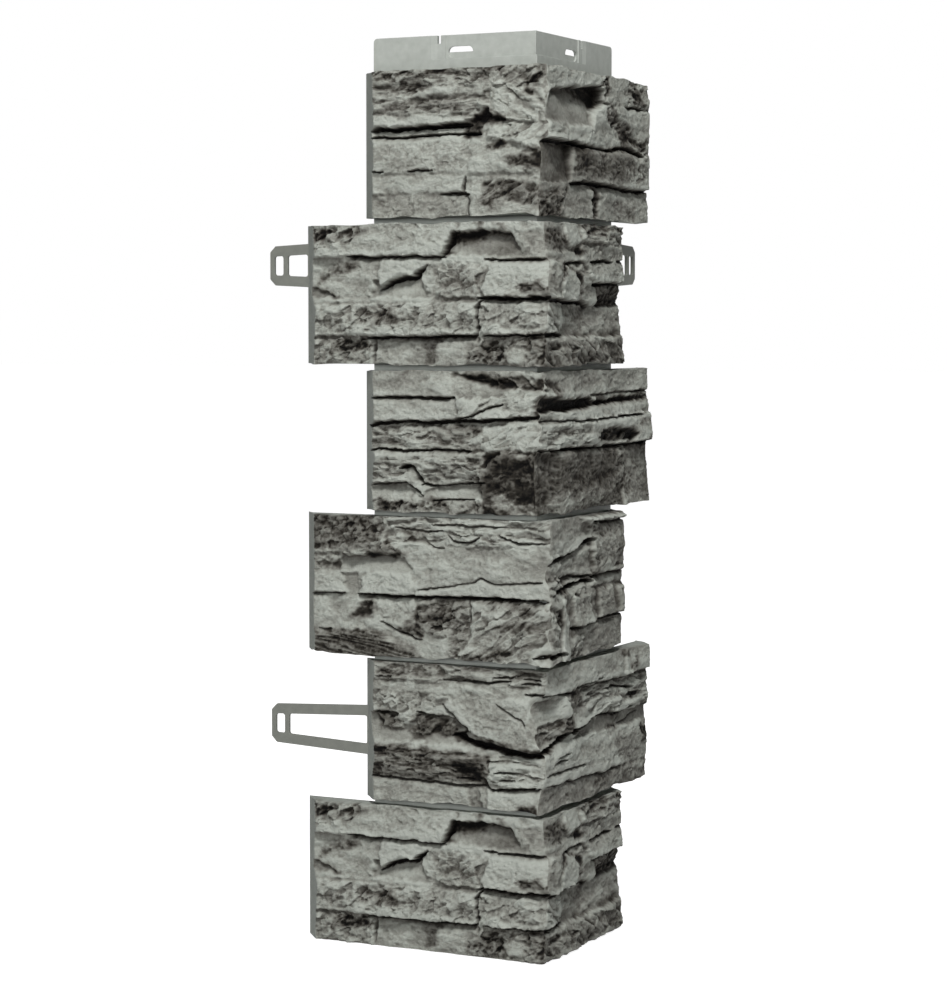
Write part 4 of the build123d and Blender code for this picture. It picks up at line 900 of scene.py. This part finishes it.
    for c0, c1 in zip(keep, keep[1:]):
        for i0, i1 in zip(levels, levels[1:]):
            near, far = [inner_ids[i0, c0], inner_ids[i1, c0]], [inner_ids[i1, c1], inner_ids[i0, c1]]
            if c0 == 0:
                near = ids[i0:i1 + 1, 0]
            elif c1 == cols - 1:
                far = ids[i0:i1 + 1, cols - 1][::-1]
            add_face(near, far)
        add_face(ids[0, c0:c1 + 1][::-1], [inner_ids[0, c0], inner_ids[0, c1]])
        add_face(ids[-1, c0:c1 + 1], [inner_ids[rows - 1, c1], inner_ids[rows - 1, c0]])

    on_left = flat < CORNER
    place = np.where(on_left, flat + left_length, flat - CORNER)
    up = np.where(on_left, 0, RIGHT_ROW) + (zz - base)
    uv_outer = np.stack([place + 2, up + 1], 2).reshape(-1, 2)
    place = np.where(inner[:, 1] <= 0.001, inner[:, 0] + left_length, left_length + 4 + inner[:, 1])
    uv_inner = np.stack([2 + place * BACK_SHRINK[0], BACK_ROW + (inner[:, 2] - base) * BACK_SHRINK[1]], 1)
    # tone holds the toning paint together with painted shade and the slits' painted shadow
    attributes = {
        "tone": np.concatenate([tone.ravel(), np.zeros(len(inner))]),
        "bare": np.concatenate([bare.ravel(), np.ones(len(inner))]),
    }
    return make_object(f"course_{number + 1}", np.concatenate([outer, inner]), faces, 55, stone_material,
                       attributes, np.concatenate([uv_outer, uv_inner]) / SHEET)


# Materials

def node(tree, kind, values=None, **settings):
    """A new shader node with its settings and the values of its inputs."""
    made = tree.nodes.new("ShaderNode" + kind)
    for key, value in settings.items():
        setattr(made, key, value)
    for key, value in (values or {}).items():
        made.inputs[key].default_value = value
    return made


def wire(tree, *pairs):
    for source, target in pairs:
        tree.links.new(source, target)


def colours(tree, *stops):
    """A colour ramp through stops of (position, colour)."""
    made = node(tree, "ValToRGB")
    elements = made.color_ramp.elements
    elements[0].position, elements[0].color = stops[0]
    elements[1].position, elements[1].color = stops[-1]
    for position, colour in stops[1:-1]:
        elements.new(position).color = colour
    return made


def srgb(r, g, b):
    return tuple(((c / 255 + 0.055) / 1.055) ** 2.4 if c > 10 else c / 255 / 12.92 for c in (r, g, b)) + (1,)


def new_material(name, values):
    material = bpy.data.materials.new(name)
    material.use_nodes = True
    tree = material.node_tree
    tree.nodes.clear()
    out = node(tree, "OutputMaterial")
    shader = node(tree, "BsdfPrincipled", values)
    wire(tree, (shader.outputs[0], out.inputs[0]))
    return material, tree, shader, out


def make_stone_material():
    material, tree, shader, _ = new_material("toned_and_shaded_stone_plastic", {"Roughness": 0.72, "Specular IOR Level": 0.1})
    place = node(tree, "TexCoord")
    tone = node(tree, "Attribute", attribute_name="tone")
    bare = node(tree, "Attribute", attribute_name="bare")
    speckle = node(tree, "TexNoise", {"Scale": 900, "Detail": 5, "Roughness": 0.7})
    shift = node(tree, "Math", {1: 0.2, 2: -0.1}, operation="MULTIPLY_ADD")
    total = node(tree, "Math", operation="ADD", use_clamp=True)
    toned = colours(tree, (0.0, srgb(176, 180, 172)), (0.15, srgb(156, 158, 150)), (0.3, srgb(132, 132, 125)),
                    (0.5, srgb(94, 92, 86)), (0.75, srgb(47, 44, 39)), (1.0, srgb(9, 8, 7)))
    plastic = colours(tree, (0.0, srgb(146, 150, 144)), (1.0, srgb(158, 162, 156)))
    mix = node(tree, "Mix", data_type="RGBA")
    bump = node(tree, "Bump", {"Strength": 0.9, "Distance": 0.0011})
    wire(tree, (place.outputs["Object"], speckle.inputs["Vector"]),
         (speckle.outputs["Fac"], shift.inputs[0]),
         (tone.outputs["Fac"], total.inputs[0]),
         (shift.outputs[0], total.inputs[1]),
         (total.outputs[0], toned.inputs["Fac"]),
         (speckle.outputs["Fac"], plastic.inputs["Fac"]),
         (bare.outputs["Fac"], mix.inputs["Factor"]),
         (toned.outputs["Color"], mix.inputs["A"]),
         (plastic.outputs["Color"], mix.inputs["B"]),
         (mix.outputs["Result"], shader.inputs["Base Color"]),
         (speckle.outputs["Fac"], bump.inputs["Height"]),
         (bump.outputs["Normal"], shader.inputs["Normal"]))
    return material


def make_plastic_material(name, dark, light):
    material, tree, shader, _ = new_material(name, {"Roughness": 0.5, "Specular IOR Level": 0.4})
    place = node(tree, "TexCoord")
    grain = node(tree, "TexNoise", {"Scale": 260, "Detail": 6})
    colour = colours(tree, (0.3, srgb(*dark)), (0.7, srgb(*light)))
    bump = node(tree, "Bump", {"Strength": 0.1, "Distance": 0.0002})
    wire(tree, (place.outputs["Object"], grain.inputs["Vector"]),
         (grain.outputs["Fac"], colour.inputs["Fac"]),
         (colour.outputs["Color"], shader.inputs["Base Color"]),
         (grain.outputs["Fac"], bump.inputs["Height"]),
         (bump.outputs["Normal"], shader.inputs["Normal"]))
    return material


def paint_groove_shadow(material):
    """Paints shadow on a groove floor: its colour darkens towards the stones above it."""
    tree = material.node_tree
    shader = next(n for n in tree.nodes if n.type == "BSDF_PRINCIPLED")
    plain = shader.inputs["Base Color"].links[0].from_socket
    place = node(tree, "TexCoord")
    axes = node(tree, "SeparateXYZ")
    level = node(tree, "Math", {1: PITCH * 0.0005, 2: PITCH * -0.0005}, operation="WRAP")
    span = node(tree, "MapRange", {"From Min": -MM * HALF_GROOVE, "From Max": MM * HALF_GROOVE})
    # painted shadow: the top of each groove floor is coloured near black under the stones
    shadow_ramp = colours(tree, (0.3, (1, 1, 1, 1)), (1.0, (0.06, 0.06, 0.055, 1)))
    mix = node(tree, "Mix", {"Factor": 1.0}, data_type="RGBA", blend_type="MULTIPLY")
    wire(tree, (place.outputs["Object"], axes.inputs[0]),
         (axes.outputs["Z"], level.inputs[0]),
         (level.outputs[0], span.inputs["Value"]),
         (span.outputs[0], shadow_ramp.inputs["Fac"]),
         (plain, mix.inputs["A"]),
         (shadow_ramp.outputs["Color"], mix.inputs["B"]),
         (mix.outputs["Result"], shader.inputs["Base Color"]))


stone_material = make_stone_material()
flange_material = make_plastic_material("flange_plastic", (160, 164, 158), (172, 176, 170))
# painted light: the groove floors get a lighter copy of the flange plastic, standing in for light that reaches into the
# grooves
groove_material = make_plastic_material("groove_plastic_painted_light", (212, 217, 211), (222, 227, 221))
# painted shadow at the top of each groove floor
paint_groove_shadow(groove_material)
tab_material = make_plastic_material("tab_plastic", (110, 112, 106), (120, 122, 115))


# Flat plates, drawn on a leg's wall plane as outlines with holes

def plate(leg, outlines, reach_from, reach_to, soften=0.25):
    """Points and faces of a plate with holes. An outline is a list of (along, height)."""
    curve = bpy.data.curves.new("plate", "CURVE")
    curve.dimensions = "2D"
    curve.fill_mode = "BOTH"
    curve.extrude = ((reach_to - reach_from) / 2 - soften) * MM
    curve.bevel_depth = soften * MM
    curve.bevel_resolution = 1
    curve.offset = -soften * MM
    for outline in outlines:
        spline = curve.splines.new("POLY")
        spline.points.add(len(outline) - 1)
        spline.use_cyclic_u = True
        for point, (a, b) in zip(spline.points, outline):
            point.co = (a * MM, b * MM, 0, 1)
    ob = bpy.data.objects.new("plate", curve)
    bpy.context.scene.collection.objects.link(ob)
    mesh = bpy.data.meshes.new_from_object(ob.evaluated_get(bpy.context.evaluated_depsgraph_get()))
    bpy.data.objects.remove(ob)
    bpy.data.curves.remove(curve)
    flat = np.array([v.co[:] for v in mesh.vertices]) / MM
    faces = [list(p.vertices) for p in mesh.polygons]
    bpy.data.meshes.remove(mesh)
    middle = (reach_from + reach_to) / 2
    if leg == "left":
        return np.stack([-flat[:, 0], -(middle + flat[:, 2]), flat[:, 1]], 1), faces
    return np.stack([middle + flat[:, 2], flat[:, 0], flat[:, 1]], 1), [f[::-1] for f in faces]


def prism(leg, plan, low, high):
    """Points and faces of a block that stands on its plan, a list of (along, reach)."""
    n = len(plan)
    points = np.array([(a, r, z) for z in (low, high) for a, r in plan])
    faces = [list(range(n))[::-1], list(range(n, 2 * n))]
    faces += [[k, (k + 1) % n, n + (k + 1) % n, n + k] for k in range(n)]
    if leg == "left":
        return points * (-1, -1, 1), faces
    return points[:, [1, 0, 2]], [f[::-1] for f in faces]


def joined(name, pieces, material):
    points, faces, start = [], [], 0
    for p, f in pieces:
        points.append(p)
        faces += [[v + start for v in face] for face in f]
        start += len(p)
    return make_object(name, np.concatenate(points), faces, 35, material)


def rounded(points, radii):
    """An outline with its corners rounded, each by its own radius."""
    result = []
    steps = 5
    for k, r in enumerate(radii):
        p, before, after = (Vector(points[n % len(points)]) for n in (k, k - 1, k + 1))
        if r == 0:
            result.append(tuple(p))
            continue
        u, v = (before - p).normalized(), (after - p).normalized()
        angle = u.angle(v)
        reach = r / math.tan(angle / 2)
        centre = p + (u + v).normalized() * (r / math.sin(angle / 2))
        a, b = p + u * reach - centre, p + v * reach - centre
        for m in range(steps + 1):
            mixed = a * (1 - m / steps) + b * (m / steps)
            result.append(tuple(centre + mixed.normalized() * r))
    return result


def slot(middle, height, length, width):
    """Outline of a slot with round ends."""
    r, straight = width / 2, length / 2 - width / 2
    return [(middle + side * (straight + r * math.sin(a)), height - side * r * math.cos(a))
            for side in (1, -1) for a in np.linspace(0, math.pi, 10)]


# The flange and the floors of the grooves. Pieces run a little into each other.
TOP = COURSES * PITCH
HEAD = TOP + 17.8
FLANGE_FOOT = TOP - 1.6
FLANGE_CORNER = 2.0
FLOOR_HALF = 3.2  # half the height of a groove floor, which runs in behind the stones
MIDDLE, MIDDLE_REACH = 46.4, 1.4  # length and front of the middle panel
WEB_REACH = 1.9
SLIT_END, SLIT_WIDTH, SLIT_DEPTH = 50.8, 1.8, 4.0
SLIT_START = SLIT_END - SLIT_WIDTH
SLOPE_END = SLIT_END + 2.9
LEDGE = 6.4
SLOT_LENGTH, SLOT_HEIGHT = 13.2, 5.4
SLOT_MIDDLE = MIDDLE - 1.3 - SLOT_LENGTH / 2
SLOT_LEVEL = TOP + 9.6
BACKING, BACKING_HALF = 0.6, 7.2  # skin that closes the lower half of a slot

pieces, floors = [], []
for leg, tip in (("left", HEAD), ("right", HEAD - 0.02)):
    for number in range(1, COURSES):
        level = number * PITCH
        floor = box(-GROOVE_FLOOR + 0.02, WEB_LEG, level - FLOOR_HALF, level + FLOOR_HALF)
        floors.append(plate(leg, [floor], 0, GROOVE_FLOOR))
    panel = box(-MIDDLE_REACH + 0.02, MIDDLE + 0.3, FLANGE_FOOT, tip)
    backing = box(SLOT_MIDDLE - BACKING_HALF, SLOT_MIDDLE + BACKING_HALF, FLANGE_FOOT + 0.1, SLOT_LEVEL)
    web = [(MIDDLE, FLANGE_FOOT), (SLIT_END + 0.1, FLANGE_FOOT), (SLIT_END + 0.1, tip - SLIT_DEPTH),
           (SLIT_START, tip - SLIT_DEPTH), (SLIT_START, tip), (MIDDLE, tip)]
    slope = [(SLIT_END, 0.05), (SLOPE_END + 0.2, 0.05), (SLOPE_END + 0.2, GROOVE_FLOOR - 0.02), (SLIT_END, WEB_REACH)]
    ledge = box(-GROOVE_FLOOR + 0.02, SLOPE_END + 0.3, FLANGE_FOOT, TOP + LEDGE)
    end = rounded(box(SLOPE_END, WEB_LEG, FLANGE_FOOT, tip), [0, 0, FLANGE_CORNER, 0])
    pieces += [
        plate(leg, [panel, slot(SLOT_MIDDLE, SLOT_LEVEL, SLOT_LENGTH, SLOT_HEIGHT)], 0, MIDDLE_REACH, 0.15),
        plate(leg, [backing], 0.04, BACKING, 0.05),
        plate(leg, [rounded(web, [0, 0, 0, 0.4, 0.4, 0])], 0.03, WEB_REACH, 0.15),
        prism(leg, slope, FLANGE_FOOT + 0.05, tip - 0.05),
        plate(leg, [ledge], 0.02, GROOVE_FLOOR - 0.01),
        plate(leg, [end], 0, GROOVE_FLOOR),
    ]
flange = joined("flange", pieces, flange_material)
grooves = joined("groove_floors", floors, groove_material)

# The nail tabs
TAB_HALF, TAB_FLARE = 9.75, 0.045  # half the height at the tip, and its growth towards the root
TAB_BAR, TAB_ARM, TAB_ROOT_BAR = 2.6, 5.2, 1.6
TAB_WINDOW, WINDOW_RADIUS = 5.0, 1.2
TAB_CORNER, TAB_THICK = 3, 1.6
LEFT_TIP, RIGHT_TIP = WIDE + 21, NARROW + 27


def tab(leg, leg_end, tip, middle):
    root = leg_end - WALL

    def half(s):
        return TAB_HALF + TAB_FLARE * (tip - s)

    def window(near, far):
        a, b = half(near) - TAB_ARM, half(far) - TAB_ARM
        return rounded([(near, middle - a), (far, middle - b), (far, middle + b), (near, middle + a)],
                       [WINDOW_RADIUS] * 4)

    end = half(tip)
    outline = rounded([(root, middle - half(root)), (tip - TAB_CORNER, middle - end), (tip, middle - end + TAB_CORNER),
                       (tip, middle + end - TAB_CORNER), (tip - TAB_CORNER, middle + end), (root, middle + half(root))],
                      [0, 1, 1, 1, 1, 0])
    far = tip - TAB_BAR
    near = far - TAB_WINDOW
    return plate(leg, [outline, window(near, far), window(root + TAB_ROOT_BAR, near - TAB_BAR)], 0, TAB_THICK)


tabs = joined("nail_tabs", [
    tab("left", WIDE, LEFT_TIP, 4 * PITCH + 50),
    tab("left", NARROW, LEFT_TIP, PITCH + 34),
    tab("right", NARROW, RIGHT_TIP, 4 * PITCH + 51),
], tab_material)

made = [course(number) for number in range(COURSES)] + [flange, grooves, tabs]
for ob in made:
    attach(ob, "root")
    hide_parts("corner_panel")


# Stage, light and camera

def stage_material():
    """A pale floor that looks white to the camera."""
    material, tree, shader, out = new_material("white_floor", {"Base Color": (0.7, 0.7, 0.7, 1), "Roughness": 0.9})
    rays = node(tree, "LightPath")
    seen = node(tree, "Math", operation="MAXIMUM")
    glow = node(tree, "Emission", {"Color": (0.91, 0.91, 0.91, 1)})
    both = node(tree, "AddShader")
    wire(tree, (rays.outputs["Is Camera Ray"], seen.inputs[0]),
         (rays.outputs["Is Glossy Ray"], seen.inputs[1]),
         (seen.outputs[0], glow.inputs["Strength"]),
         (shader.outputs[0], both.inputs[0]),
         (glow.outputs[0], both.inputs[1]),
         (both.outputs[0], out.inputs[0]))
    return material


bpy.ops.mesh.primitive_plane_add(size=30, location=(0, 0, -0.0005))
floor = bpy.context.object
floor.name = "floor"
floor.data.materials.append(stage_material())

world = bpy.data.worlds.new("studio")
world.use_nodes = True
bpy.context.scene.world = world
sky = world.node_tree
sky.nodes.clear()
sky_out = node(sky, "OutputWorld")
soft = node(sky, "Background", {"Color": (1, 1, 1, 1), "Strength": 0.14})
white = node(sky, "Background", {"Color": (1, 1, 1, 1), "Strength": 1.0})
pick = node(sky, "MixShader")
rays = node(sky, "LightPath")
wire(sky, (rays.outputs["Is Camera Ray"], pick.inputs[0]),
     (soft.outputs[0], pick.inputs[1]),
     (white.outputs[0], pick.inputs[2]),
     (pick.outputs[0], sky_out.inputs[0]))


def area_light(name, place, size, power):
    light = bpy.data.lights.new(name, "AREA")
    light.size, light.energy = size, power
    ob = bpy.data.objects.new(name, light)
    ob.location = place
    ob.rotation_euler = (Vector((0, 0, 0.22)) - Vector(place)).to_track_quat("-Z", "Y").to_euler()
    bpy.context.scene.collection.objects.link(ob)


area_light("key", (0.62, -1.1, 1.9), 0.45, 42)
area_light("front", (0.4, -2.0, 0.5), 0.5, 7.5)

# The camera, fitted to the photo
AZIMUTH, DOWN = math.radians(26.59), math.radians(2.60)
DISTANCE, SIDE, HEIGHT = 1.277, -0.0289, 0.3054
PICTURE, FOCAL, AXIS_ROW = 1000, 2681, 445.1  # longer side of the picture, focal length and optical axis, in pixels
SENSOR = 36
away = Vector((math.sin(AZIMUTH), -math.cos(AZIMUTH), 0))
right = Vector((math.cos(AZIMUTH), math.sin(AZIMUTH), 0))
camera_data = bpy.data.cameras.new("camera")
camera_data.sensor_fit = "AUTO"
camera_data.sensor_width = SENSOR
camera_data.lens = FOCAL / PICTURE * SENSOR
camera_data.shift_y = -(PICTURE / 2 - AXIS_ROW) / PICTURE
camera = bpy.data.objects.new("camera", camera_data)
camera.location = away * DISTANCE + right * SIDE + Vector((0, 0, HEIGHT))
look = -away * math.cos(DOWN) - Vector((0, 0, math.sin(DOWN)))
camera.rotation_euler = look.to_track_quat("-Z", "Y").to_euler()
bpy.context.scene.collection.objects.link(camera)
bpy.context.scene.camera = camera
bpy.context.scene.view_settings.view_transform = "Standard"
